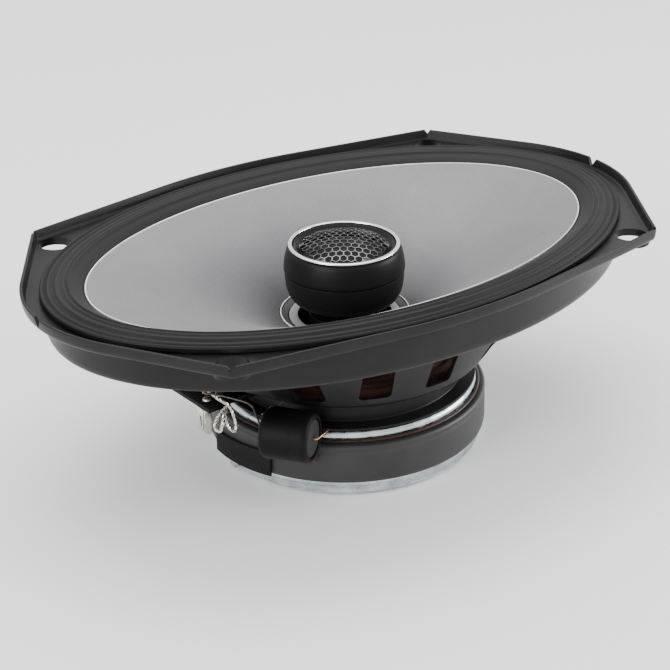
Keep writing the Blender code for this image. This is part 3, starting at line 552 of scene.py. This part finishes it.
def dressed(name, node, width, finish, segments=3):
    """A new piece with a CAD node's shape and rounded edges."""
    mesh = bmesh.new()
    mesh.from_mesh(NODES[node].data)
    bmesh.ops.scale(mesh, vec=(1 / MM, 1 / MM, 1 / MM), verts=mesh.verts)
    bmesh.ops.remove_doubles(mesh, verts=mesh.verts, dist=0.01)
    bmesh.ops.dissolve_limit(mesh, angle_limit=math.radians(2), verts=mesh.verts, edges=mesh.edges)
    edges = [edge for edge in mesh.edges if edge.is_manifold and edge.calc_face_angle() > math.radians(30)]
    bmesh.ops.bevel(mesh, geom=edges, offset=width, segments=segments, profile=0.5,
                    affect="EDGES", clamp_overlap=True)
    return shape(name, mesh, finish)


def cut(piece, meshes, operation="DIFFERENCE"):
    """Apply a Boolean of several closed bodies to a piece, and discard the tool."""
    tool = shape("tool", together(meshes), "black_steel")
    modifier = piece.modifiers.new("cut", "BOOLEAN")
    modifier.object = tool
    modifier.operation = operation
    modifier.solver = "EXACT"
    settled = bpy.data.meshes.new_from_object(piece.evaluated_get(bpy.context.evaluated_depsgraph_get()))
    piece.modifiers.clear()
    piece.data = settled
    bpy.data.objects.remove(tool, do_unlink=True)
    settled.shade_smooth()
    settled.set_sharp_from_angle(angle=SHARP)


def settle(piece, body, slot, *nodes):
    """Put a finished piece on its body, in place of its nodes; its slot is not used."""
    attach(piece, body)
    if nodes:
        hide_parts(*nodes)
    return piece


def flex(piece, node):
    """Bake a piece's placement into its points and hide the CAD node it replaces.
    """
    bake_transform(piece)
    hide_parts(node)


def points_of(piece):
    """A piece's points in millimetres."""
    flat = np.empty(len(piece.data.vertices) * 3)
    piece.data.vertices.foreach_get("co", flat)
    return flat.reshape(-1, 3) / MM


# ---------------------------------------------------------------- frame

def racetrack(grow):
    """Outline of a screw slot, pointing at its corner, grown on every side."""
    radius = SLOT_WIDTH / 2 + grow
    heading = math.atan2(SLOT_HEADING[1], SLOT_HEADING[0])
    reach = SLOT_LENGTH - SLOT_WIDTH
    inner = (SLOT_OUTER[0] - SLOT_HEADING[0] * reach, SLOT_OUTER[1] - SLOT_HEADING[1] * reach)
    outline = []
    for centre, start in ((SLOT_OUTER, heading - math.pi / 2), (inner, heading + math.pi / 2)):
        for turn in start + np.linspace(0.0, math.pi, 25):
            outline.append((centre[0] + radius * math.cos(turn), centre[1] + radius * math.sin(turn)))
    return np.array(outline)


def slot_body(sx, sy, grow, low, high):
    """A closed body through one screw slot."""
    outline = racetrack(grow) * (sx, sy)
    rings = [np.column_stack([outline, np.full(len(outline), z)]) for z in (low, high)]
    return capped_tube(rings)


def window_body(azimuth, width):
    """A body through the bowl's wall in the shape of a window with rounded feet."""
    out = np.array((math.cos(azimuth), math.sin(azimuth), 0.0))
    side = np.array((-out[1], out[0], 0.0))
    middle = ((WINDOW_LOW + WINDOW_HIGH) / 2 - LEDGE_Z - 2.0) / (BOWL_TOP_Z - LEDGE_Z - 2.0)
    edge = float(ellipse_reach(np.array([azimuth]), BOWL_TOP)[0])
    half = (LEDGE_RADIUS + middle * (edge - LEDGE_RADIUS)) * math.tan(width / 2)
    corners = [(half, WINDOW_HIGH), (-half, WINDOW_HIGH), (-half, WINDOW_LOW), (half, WINDOW_LOW)]
    section = softened(corners, (0.4, 0.4, WINDOW_CORNER, WINDOW_CORNER), steps=8)
    up = np.array((0.0, 0.0, 1.0))
    rings = [[out * reach + side * s + up * z for s, z in section]
             for reach in (LEDGE_RADIUS - 8.0, edge + 2.0)]
    return capped_tube(rings)


def notch_body(azimuth, depth, width):
    """A V through the lip."""
    reach = float(support_reach(np.array([azimuth]))(0.0)[0])
    out = np.array((math.cos(azimuth), math.sin(azimuth), 0.0))
    side = np.array((-out[1], out[0], 0.0)) * width / 2
    top = np.array((0.0, 0.0, LIP_TOP + 0.4))
    root = np.array((0.0, 0.0, LIP_TOP - depth))
    rings = [[out * r - side + top, out * r + side + top, out * r + root] for r in (reach - 4.5, reach + 2.0)]
    return capped_tube(rings)


def make_frame():
    """The pressed frame in one smooth sheet, with its windows, slots and notches cut."""
    azimuths = oval_azimuths(refined=True)
    reach = support_reach(azimuths)
    under = FLOOR_TOP - SHEET
    wall_in = (SKIRT[0] - SHEET, SKIRT[1] - SHEET)
    landing = (104.2, 68.7)

    def lip(inset):
        return reach(inset)

    def oval(half_axes):
        return ellipse_reach(azimuths, half_axes)

    def disc(radius):
        return np.full(len(azimuths), radius)

    corners = [  # reach, height, softness
        (lip(0.0), LIP_TOP, 0.35),
        (lip(0.35), under + 1.0, 1.2),
        (lip(1.5), under, 0.6),
        (oval(SKIRT), under, 0.5),
        (oval(SKIRT), SKIRT_BOTTOM, 3.4),
        (oval(BOWL_TOP), BOWL_TOP_Z, 0.8),
        (disc(LEDGE_RADIUS), LEDGE_Z + 2.0, 1.4),
        (disc(LEDGE_RADIUS - 2.6), LEDGE_Z, 1.0),
        (disc(NECK_RADIUS), LEDGE_Z - 0.6, 0.6),
        (disc(NECK_RADIUS), SEAT_Z + SEAT_FLANGE_THICKNESS, 0.5),
        (disc(SEAT_FLANGE_RADIUS), SEAT_Z + SEAT_FLANGE_THICKNESS, 0.3),
        (disc(SEAT_FLANGE_RADIUS), SEAT_Z, 0.2),
        (disc(SEAT_HOLE_RADIUS), SEAT_Z, 0.2),
        (disc(SEAT_HOLE_RADIUS), SEAT_Z + SHEET, 0.2),
        (disc(NECK_RADIUS - SHEET), SEAT_Z + SHEET, 0.8),
        (disc(NECK_RADIUS - SHEET), LEDGE_Z + SHEET, 0.8),
        (disc(LEDGE_RADIUS - 3.2), LEDGE_Z + SHEET, 0.8),
        (disc(LEDGE_RADIUS - 1.6), LEDGE_Z + 2.5, 0.8),
        (oval((BOWL_TOP[0] - 1.2, BOWL_TOP[1] - 1.2)), BOWL_TOP_Z + 0.9, 0.8),
        (oval(wall_in), SKIRT_BOTTOM + SHEET, 2.4),
        (oval(wall_in), under, 0.4),
        (oval(landing), under, 0.3),
        (oval(landing), FLOOR_TOP, 0.4),
        (lip(FLOOR_INSET), FLOOR_TOP, 0.9),
        (lip(SHEET - 0.1), LIP_TOP, 0.35),
    ]
    profiles = np.stack([np.stack([r, np.full(len(azimuths), z)], axis=-1) for r, z, _ in corners], axis=1)
    grid = swept(softened(profiles, [soft for _, _, soft in corners]), azimuths)
    shell = shape("frame_shell", woven(grid), "black_steel")
    holes = [window_body(math.radians(side * azimuth), math.radians(width))
             for azimuth, width in WINDOWS for side in (1, -1)]
    holes.append(window_body(math.radians(LEAD_WINDOW[0]), math.radians(LEAD_WINDOW[1])))
    holes += [slot_body(sx, sy, 0.0, 72.0, FLOOR_TOP + 1.0) for sx in (1, -1) for sy in (1, -1)]
    holes += [notch_body(math.radians(azimuth), depth, width) for azimuth, depth, width in NOTCHES]
    cut(shell, holes)
    settle(shell, "frame", "black_steel", "basket")

    ear = slab_mesh([(-60.5, -7.5), (-40.6, -7.5), (-40.6, 7.5), (-60.5, 7.5)], 29.8, 31.4)
    settle(shape("board_ear", ear, "black_steel"), "frame", "black_steel")
    collars = []
    for sx in (1, -1):
        for sy in (1, -1):
            outer, inner = racetrack(0.75) * (sx, sy), racetrack(0.02) * (sx, sy)
            levels = ((outer, FLOOR_TOP - 0.5), (outer, 71.9), (inner, 71.9), (inner, FLOOR_TOP - 0.02))
            rings = [np.column_stack([line, np.full(len(line), z)]) for line, z in levels]
            collars.append(woven(np.array(rings)))
    settle(shape("slot_collars", together(collars), "black_steel"), "frame", "black_steel")


def slab_mesh(outline, low, high):
    """A flat plate with soft edges from an outline of (x, y) points."""
    mesh = bmesh.new()
    rings = [[mesh.verts.new((x, y, z)) for x, y in outline] for z in (low, high)]
    count = len(outline)
    for i in range(count):
        j = (i + 1) % count
        mesh.faces.new((rings[0][i], rings[0][j], rings[1][j], rings[1][i]))
    for ring in rings:
        mesh.faces.new(ring)
    bmesh.ops.recalc_face_normals(mesh, faces=mesh.faces)
    bmesh.ops.bevel(mesh, geom=list(mesh.edges), offset=0.18, segments=2, profile=0.5,
                    affect="EDGES", clamp_overlap=True)
    return mesh


# ---------------------------------------------------------------- cone, surround, spider

def cone_height(share):
    return share * (1.0 + CONE_FLARE * (1.0 - share))


def make_cone():
    """The woven cone, and a thin pale ring along its edge where it meets the rubber, painted as a highlight
    line.
    """
    azimuths = oval_azimuths()
    edge = ellipse_reach(azimuths, CONE_EDGE)
    depth = CONE_EDGE_Z - CONE_NECK_Z
    shares = np.linspace(0.0, 1.0, 40)

    def layer(drop, order):
        reach = CONE_NECK_RADIUS + order[None, :] * (edge - CONE_NECK_RADIUS)[:, None]
        height = np.broadcast_to(CONE_NECK_Z + depth * cone_height(order) - drop, reach.shape)
        return np.stack([reach, height], axis=-1)

    profile = np.concatenate([layer(0.0, shares), layer(CONE_THICKNESS, shares[::-1])], axis=1)
    cone = shape("cone_fabric", woven(swept(profile, azimuths)), "woven_cone")
    settle(cone, "cone", "woven_cone", "cone")

    def ring(outward):
        return ellipse_reach(azimuths, (CONE_EDGE[0] + outward, CONE_EDGE[1] + outward))

    # A thin ring along the cone's edge in a pale finish: a painted highlight line.
    corners = [(ring(-0.36), CONE_EDGE_Z - 0.2), (ring(-0.28), CONE_EDGE_Z - 0.02),
               (ring(0.1), CONE_EDGE_Z + 0.04), (ring(0.2), CONE_EDGE_Z - 0.45)]
    profile = np.stack([np.stack([r, np.full(len(r), z)], axis=-1) for r, z in corners], axis=1)
    trim = shape("cone_trim", woven(swept(softened(profile, 0.08), azimuths)), "edge_highlight")
    settle(trim, "cone", "woven_cone")


def make_surround():
    """The rubber surround: a smooth slope, four ribs and an outer bead."""
    azimuths = oval_azimuths()
    corners = [  # outward from the cone's edge, height, softness
        (-2.6, 72.2, 0.1), (0.2, 73.7, 0.2), (0.5, 74.75, 0.3),
        (2.6, 76.2, 1.4), (4.4, 76.95, 0.8), (5.4, 77.95, 0.5), (6.0, 77.15, 0.3),
        (7.1, 77.8, 0.5), (7.9, 77.0, 0.4), (9.5, 77.7, 0.7), (10.7, 76.35, 0.5),
        (12.3, 77.25, 0.7), (13.2, 76.15, 0.35), (14.3, 77.1, 0.5), (SURROUND_WIDTH, 76.4, 0.25),
        (SURROUND_WIDTH + 0.05, FLOOR_TOP + 0.3, 0.2), (11.4, FLOOR_TOP + 0.3, 0.3),
        (9.6, 75.9, 0.8), (5.8, 76.2, 0.8), (0.8, 73.4, 0.3), (-2.6, 71.6, 0.1),
    ]
    line = softened([(r, z) for r, z, _ in corners], [soft for _, _, soft in corners], steps=6)
    reach = np.stack([ellipse_reach(azimuths, (CONE_EDGE[0] + r, CONE_EDGE[1] + r)) for r in line[:, 0]],
                     axis=1)
    height = np.broadcast_to(line[:, 1], reach.shape)
    piece = shape("surround_ribs", woven(swept(np.stack([reach, height], axis=-1), azimuths)), "rubber")
    points = points_of(piece)
    flex(piece, "surround")


def make_spider():
    """The corrugated centring disc."""
    waves = 7
    radii = np.linspace(SPIDER_INNER, 43.0, 2 * waves + 1)
    top = [(r, SPIDER_Z + 0.6 + (0.9 if i % 2 else -0.1)) for i, r in enumerate(radii)]
    top += [(44.0, SPIDER_Z + 0.4), (SPIDER_RADIUS - 1.9, SPIDER_Z + 0.4)]
    under = [(r, z - 0.5) for r, z in reversed(top)]
    piece = shape("spider_cloth", lathe_mesh(top + under, 0.9), "treated_cloth")
    points = points_of(piece)
    flex(piece, "spider")


# ---------------------------------------------------------------- turned pieces

def turned_pieces():
    """(piece, node, body, slot, softness, profile) for every turned piece on the speaker's axis."""
    plate_radius = 47.1
    yoke = 48.8
    boot = 50.6
    bore = 47.4
    return [
        ("plate_top", "front_plate", "frame", "zinc", 0.5,
         [(plate_radius - 0.9, PLATE_TOP), (plate_radius, PLATE_TOP - 1.1), (plate_radius, 18.0),
          (18.9, 18.0), (18.9, PLATE_TOP)]),
        ("yoke_turned", "t_yoke", "frame", "zinc", 0.5,
         [(15.9, PLATE_TOP), (16.1, PLATE_TOP - 0.4), (16.1, 5.0), (yoke - 0.2, 5.0), (yoke, 4.4),
          (yoke, 1.1), (yoke - 0.9, 0.0), (3.0, 0.0), (3.0, 11.5), (6.3, 11.5), (6.3, PLATE_TOP)]),
        ("boot_turned", "magnet_boot", "frame", "rubber", 0.7,
         [(bore + 0.3, 20.0), (boot - 0.75, 20.0), (boot, 18.9), (boot - 0.45, 17.7), (boot - 0.15, 16.6),
          (boot - 0.05, 7.0), (boot - 0.4, 5.3), (bore, 5.3), (bore, 19.5)]),
        ("seal_bead", "boot_seal_ring", "frame", "glue", 0.25,
         [(bore + 0.1, 21.1), (bore + 0.7, 21.0), (bore + 1.05, 20.6), (bore + 1.0, 20.3), (bore, 20.3),
          (bore, 20.9)]),
        ("collar_turned", "cone_collar", "cone", "collar", 0.2,
         [(22.6, 47.4), (23.1, 47.3), (23.1, 46.0), (20.3, 45.2), (20.3, 45.9), (22.5, 47.0)]),
        ("neck_ring_turned", "neck_ring", "cone", "pale_ring", 0.15,
         [(19.9, 46.2), (20.0, 45.6), (16.9, 45.6), (16.9, 46.2)]),
        ("tweeter_post_turned", "tweeter_post", "frame", "black_plastic", 0.4,
         [(13.0, 47.5), (13.0, 26.2), (14.5, 25.5), (14.5, 23.8), (6.0, 23.8), (6.0, 12.0), (3.2, 12.0),
          (3.2, 24.0), (4.0, 25.0), (4.0, 47.5)]),
        ("tweeter_cup_turned", "tweeter_lower_cup", "frame", "black_plastic",
         (0.25, 1.5, 1.5, 1.5, 1.4, 1.4, 1.2, 0.6, 0.2, 0.2, 0.5, 1.0, 1.0, 0.3),
         [(21.2, PARTING_Z), (21.1, 60.5), (20.7, 57.2), (19.6, 54.4), (17.7, 52.3), (15.2, 50.9),
          (13.5, 49.9), (13.0, 47.8), (4.0, 47.8), (4.0, 53.3), (15.5, 53.3), (18.4, 56.0),
          (19.6, 59.0), (19.6, PARTING_Z)]),
        ("tweeter_housing_turned", "tweeter_housing", "frame", "black_plastic",
         (0.2, 0.7, 1.1, 1.5, 0.6, 0.5, 0.2, 0.2, 0.4, 0.4),
         [(18.4, POD_TOP), (19.6, POD_TOP), (20.3, 71.4), (21.1, 68.3), (21.5, 65.2), (21.5, 64.3),
          (21.2, 64.0), (19.6, 64.0), (19.6, 66.0), (18.4, 66.8)]),
        ("tweeter_trim_turned", "tweeter_trim_ring", "frame", "chrome", 0.25,
         [(18.6, 73.6), (19.45, 73.6), (19.8, 73.3), (19.75, 72.9), (18.3, 72.9), (18.3, 73.4)]),
        ("tweeter_bezel_turned", "tweeter_faceplate", "frame", "black_plastic", 0.35,
         [(18.0, 73.2), (18.0, 66.6), (13.2, 66.6), (13.2, 68.7), (15.1, 68.7), (15.1, 71.5), (16.3, 71.7)]),
        ("dome_turned", "tweeter_dome", "tweeter_diaphragm", "silk",
         (0.0, 2.0, 2.0, 1.6, 0.5, 0.6, 0.4, 0.1, 0.4, 0.4, 1.6, 2.0, 2.0, 0.0),
         [(0.0, 73.6), (3.8, 73.3), (7.4, 72.4), (10.4, 70.9), (12.3, 69.5), (13.2, 70.0), (14.6, 69.6),
          (14.6, 69.1), (13.2, 69.5), (12.1, 69.1), (10.2, 70.4), (7.2, 71.9), (3.8, 72.8), (0.0, 73.1)]),
    ]


def make_turned():
    for name, node, body, slot, soft, profile in turned_pieces():
        finish = "boot_rubber" if node == "magnet_boot" else slot
        settle(shape(name, lathe_mesh(profile, soft), finish), body, slot, node)
    # A thin pale ring on the collar's top rim: a painted highlight.
    bright = lathe_mesh([(22.75, 47.45), (23.15, 47.4), (23.2, 47.0), (22.7, 47.1)], 0.1)
    settle(shape("collar_edge", bright, "edge_highlight"), "cone", "collar")


def make_grille():
    """The tweeter's domed honeycomb."""
    pitch = GRILLE_PITCH
    heading = math.atan2(-0.591, 0.807)
    limit = GRILLE_RADIUS - 0.1
    mesh = bmesh.new()
    for row in range(-9, 10):
        for column in range(-9, 10):
            u = pitch * (column + 0.5 * (row % 2))
            v = pitch * row * math.sqrt(3) / 2
            if math.hypot(u, v) > limit:
                continue
            outer, inner = [], []
            for k in range(6):
                turn = math.radians(30 + 60 * k)
                for ring, size in ((outer, pitch / math.sqrt(3)),
                                   (inner, (pitch - GRILLE_WALL) / math.sqrt(3))):
                    ring.append(mesh.verts.new((u + size * math.cos(turn), v + size * math.sin(turn), 0.0)))
            for k in range(6):
                j = (k + 1) % 6
                mesh.faces.new((outer[k], outer[j], inner[j], inner[k]))
    bmesh.ops.remove_doubles(mesh, verts=mesh.verts, dist=0.02)
    turn = Matrix.Rotation(heading, 3, "Z")
    for vert in mesh.verts:
        spot = turn @ vert.co
        reach = math.hypot(spot.x, spot.y)
        if reach > limit:
            spot *= limit / reach
            reach = limit
        height = GRILLE_RIM_Z + GRILLE_RISE * (1.0 - (reach / GRILLE_RADIUS) ** 2)
        vert.co = (spot.x, spot.y, height)
    bmesh.ops.recalc_face_normals(mesh, faces=mesh.faces)
    bmesh.ops.solidify(mesh, geom=list(mesh.faces), thickness=0.4)
    grille = shape("grille_honeycomb", mesh, "grille_mesh")
    settle(grille, "frame", "grille_mesh", "tweeter_grille")


# ---------------------------------------------------------------- terminals, leads, capacitor

def make_terminals():
    """The fibre board with its blades, rivets and solder."""
    settle(dressed("board_fibre", "terminal_board", 0.18, "black_fibre"), "frame", "black_fibre",
           "terminal_board")
    settle(dressed("blade_wide_tin", "terminal_blade_wide", 0.1, "tin"), "frame", "tin",
           "terminal_blade_wide")
    settle(dressed("blade_narrow_tin", "terminal_blade_narrow", 0.12, "tin"), "frame", "tin",
           "terminal_blade_narrow")
    for name, node, x, y, seat, root in (
        ("rivet_blade", "terminal_rivet", -62.2, -6.2, 33.6, 30.2),
        ("rivet_board_back", "board_rivet_1", -57.0, 5.6, 33.6, 30.2),
        ("rivet_board_front", "board_rivet_2", -57.0, -5.6, 33.6, 30.2),
    ):
        mesh = lathe_mesh([(0.0, seat + 1.0), (1.2, seat + 0.85), (1.7, seat), (0.9, seat), (0.9, root),
                           (0.0, root)], 0.3, steps=40)
        bmesh.ops.translate(mesh, vec=(x, y, 0.0), verts=mesh.verts)
        settle(shape(name, mesh, "steel"), "frame", "steel", node)
    blob = lathe_mesh([(0.0, 34.7), (1.0, 34.5), (1.7, 33.8), (1.5, 33.0), (0.0, 32.8)], 0.7, steps=40)
    for vert in blob.verts:
        vert.co.x *= 1.25 + 0.12 * math.sin(3.0 * vert.co.z)
    bmesh.ops.translate(blob, vec=(-59.5, -12.9, -2.3), verts=blob.verts)
    settle(shape("solder_blob", blob, "solder"), "frame", "steel")


LEADS = {
    "tinsel_lead_positive": [
        (-61.4, -3.6, 34.6), (-63.2, -3.8, 37.4), (-63.8, -3.4, 40.8), (-59.6, -1.6, 44.0),
        (-54.0, 0.4, 45.6),
        (-48.0, 2.5, 46.0), (-38.0, 4.0, 42.0), (-28.0, 4.5, 39.5), (-18.6, 4.0, 41.0),
    ],
    "tinsel_lead_negative": [
        (-57.4, -13.3, 33.2), (-61.0, -13.3, 31.6), (-64.3, -14.2, 27.8), (-63.5, -15.8, 26.1),
        (-62.1, -16.0, 29.1), (-60.7, -14.8, 31.3), (-60.5, -16.8, 27.3), (-58.9, -18.3, 25.9),
        (-58.1, -17.4, 28.9), (-58.6, -14.8, 33.6), (-61.8, -11.6, 36.8), (-63.8, -7.6, 40.6),
        (-60.0, -6.2, 44.2), (-53.0, -5.4, 45.6), (-44.0, -4.5, 44.0), (-31.0, -4.5, 39.5),
        (-18.6, -4.0, 41.0),
    ],
}


def make_leads():
    """The two flexible leads, each of three strands laid into a rope."""
    for node, route in LEADS.items():
        ropes = [strand(route, 0.37, sides=8, offset=0.37, phase=turn * 2 * math.pi / 3, pitch=4.2)
                 for turn in range(3)]
        piece = shape(node.replace("tinsel_lead", "lead_rope"), together(ropes), "tinned_braid")
        points = points_of(piece)
        flex(piece, node)


def make_capacitor():
    """The capacitor in its shrink sleeve, its leads and its glue."""
    turn = Matrix.Rotation(CAPACITOR_AZIMUTH + math.pi / 2, 4, "Z") @ Matrix.Rotation(math.pi / 2, 4, "Y")
    where = Matrix.Translation(CAPACITOR_CENTRE) @ turn
    half = CAPACITOR_HALF
    radius = CAPACITOR_RADIUS
    inner = radius - 0.5
    sleeve = lathe_mesh(
        [(inner - 1.6, half), (inner - 0.6, half), (radius, half - 1.2), (radius - 0.12, half - 5.6),
         (radius, half - 6.6), (radius, 1.2 - half), (inner - 0.6, -half), (inner - 1.6, -half),
         (inner - 1.6, 0.6 - half), (inner, 1.8 - half), (inner, half - 1.8), (inner - 1.6, half - 0.6)],
        (0.3, 0.8, 1.6, 1.4, 1.2, 1.6, 0.8, 0.3, 0.3, 0.5, 0.5, 0.3))
    body = inner - 0.3
    lip = inner - 1.9
    can = lathe_mesh(
        [(0.0, half - 0.4), (lip, half - 0.4), (lip + 0.2, half - 1.3), (body - 1.4, half - 1.3),
         (body, half - 2.4), (body, 2.4 - half), (body - 1.4, 1.3 - half), (lip + 0.2, 1.3 - half),
         (lip, 0.4 - half), (0.0, 0.4 - half)],
        (0.4, 0.5, 0.1, 0.4, 0.4, 0.4, 0.4, 0.1, 0.5, 0.4))
    for name, node, mesh, finish, slot in (
            ("sleeve_turned", "capacitor_sleeve", sleeve, "shrink_sleeve", "rubber"),
            ("capacitor_turned", "capacitor", can, "ferrite", "ferrite")):
        bmesh.ops.transform(mesh, matrix=where, verts=mesh.verts)
        settle(shape(name, mesh, finish), "frame", slot, node)
    across = Vector((-math.sin(CAPACITOR_AZIMUTH), math.cos(CAPACITOR_AZIMUTH), 0.0))
    inward = Vector((-math.cos(CAPACITOR_AZIMUTH), -math.sin(CAPACITOR_AZIMUTH), 0.0))
    left = CAPACITOR_CENTRE - across * (half - 0.9)
    right = CAPACITOR_CENTRE + across * (half - 0.9)
    up = Vector((0.0, 0.0, 1.0))
    routes = {
        "capacitor_lead_input": [
            left, left - across * 2.2, left - across * 3.2 + up * 5.0 - Vector((0.6, 0.0, 0.0)),
            (-57.2, -25.6, 38.6), (-60.6, -20.0, 39.6), (-63.9, -14.0, 39.6), (-65.2, -9.5, 38.6),
            (-63.4, -6.8, 37.0), (-62.2, -6.2, 35.6)],
        "capacitor_lead_output": [
            right, right + across * 1.8, right + across * 2.8 + inward * 2.2 + up * 0.4,
            right + across * 3.2 + inward * 6.4, right + across * 2.4 + inward * 9.6 - up * 0.6],
    }
    for node, route in routes.items():
        wire = strand([tuple(point) for point in route], 0.36, sides=12)
        finish = "enamelled_lead" if node == "capacitor_lead_input" else "copper"
        settle(shape(node.replace("capacitor_lead", "copper_lead"), wire, finish), "frame", "copper", node)
    settle(dressed("capacitor_glue", "capacitor_adhesive", 0.6, "glue", segments=4), "frame", "glue",
           "capacitor_adhesive")
    base = CAPACITOR_CENTRE - across * 7.6 + up * 8.2
    route = [tuple(base + inward * 3.0 * share + up * 0.8 * math.sin(3.1 * share) + across * share * 1.4)
             for share in (-0.8, -0.2, 0.5, 1.2, 2.2)]
    strings = strand(route, 0.3, sides=10, taper=0.6)
    settle(shape("glue_strings", strings, "dull_glue"), "frame", "glue")


def make_side_pad():
    """The foam pad on the boot's side and the rivet in the yoke's edge."""
    steps = 60
    rings = []
    for share in np.linspace(0.0, 1.0, steps):
        turn = math.radians(172.0 + 32.0 * share)
        low, high = 4.2 + 0.9 * share, 12.4 + 2.4 * share
        section = softened([(50.9, low), (52.0, low + 0.1), (51.9, high - 0.2), (50.9, high)], 0.35)
        rings.append([(r * math.cos(turn), r * math.sin(turn), z) for r, z in section])
    pad = shape("side_pad_foam", capped_tube(rings), "foam")
    settle(pad, "frame", "foam", "side_pad")
    rivet = lathe_mesh([(0.0, 1.5), (1.3, 1.3), (2.2, 0.7), (2.5, 0.0), (0.0, 0.0)], 0.4, steps=60)
    azimuth = math.radians(181.0)
    turn = Matrix.Rotation(azimuth, 4, "Z") @ Matrix.Rotation(math.pi / 2, 4, "Y")
    where = Matrix.Translation((YOKE_RIVET_REACH * math.cos(azimuth), YOKE_RIVET_REACH * math.sin(azimuth),
                                YOKE_RIVET_Z))
    bmesh.ops.transform(rivet, matrix=where @ turn, verts=rivet.verts)
    settle(shape("yoke_rivet_turned", rivet, "steel"), "frame", "steel", "yoke_rivet")


def finish_nodes():
    """Give every CAD node that still shows its procedural finish."""
    slots = {part["node"]: part["material_slot"] for part in frame["record"]["subparts"]}
    for name, node in NODES.items():
        if not node.hide_render:
            node.data.materials.clear()
            node.data.materials.append(FINISHES[slots[name]])


# ---------------------------------------------------------------- studio

def area_light(name, place, target, size, power):
    data = bpy.data.lights.new(name, "AREA")
    data.shape = "RECTANGLE"
    data.size, data.size_y = size
    data.energy = power
    light = bpy.data.objects.new(name, data)
    bpy.context.scene.collection.objects.link(light)
    light.location = place
    light.rotation_euler = (Vector(target) - Vector(place)).to_track_quat("-Z", "Y").to_euler()


def light_studio():
    """A pale floor, a pale world and soft boxes."""
    span = 40.0
    data = bpy.data.meshes.new("floor")
    corners = [(-span, -span), (span, -span), (span, span), (-span, span)]
    data.from_pydata([(x, y, FLOOR_Z) for x, y in corners], [], [(0, 1, 2, 3)])
    graph = Graph("floor")
    tint = graph.noise(3.0, 4.0)
    colour = graph.mixed(tint, (0.9, 0.9, 0.9), (0.93, 0.93, 0.93))
    data.materials.append(graph.done(colour, 0.75, graph.bump(tint, 0.0002), specular=0.1))
    floor = bpy.data.objects.new("floor", data)
    bpy.context.scene.collection.objects.link(floor)
    world = bpy.data.worlds.new("studio")
    bpy.context.scene.world = world
    world.use_nodes = True
    background = world.node_tree.nodes["Background"]
    background.inputs["Color"].default_value = (1.0, 1.0, 1.0, 1.0)
    background.inputs["Strength"].default_value = 1.25
    area_light("key_top", (0.1, 0.3, 1.1), (0.0, 0.0, 0.06), (1.0, 0.7), 10.0)
    area_light("fill_left", (-1.0, -0.25, 0.45), (0.0, 0.0, 0.05), (0.6, 0.5), 8.0)
    area_light("fill_right", (1.0, -0.55, 0.3), (0.03, 0.0, 0.05), (0.7, 0.4), 14.0)


aim_camera()
FINISHES = make_finishes()
make_frame()
make_cone()
make_surround()
make_spider()
make_turned()
make_grille()
make_terminals()
make_leads()
make_capacitor()
make_side_pad()
finish_nodes()
light_studio()
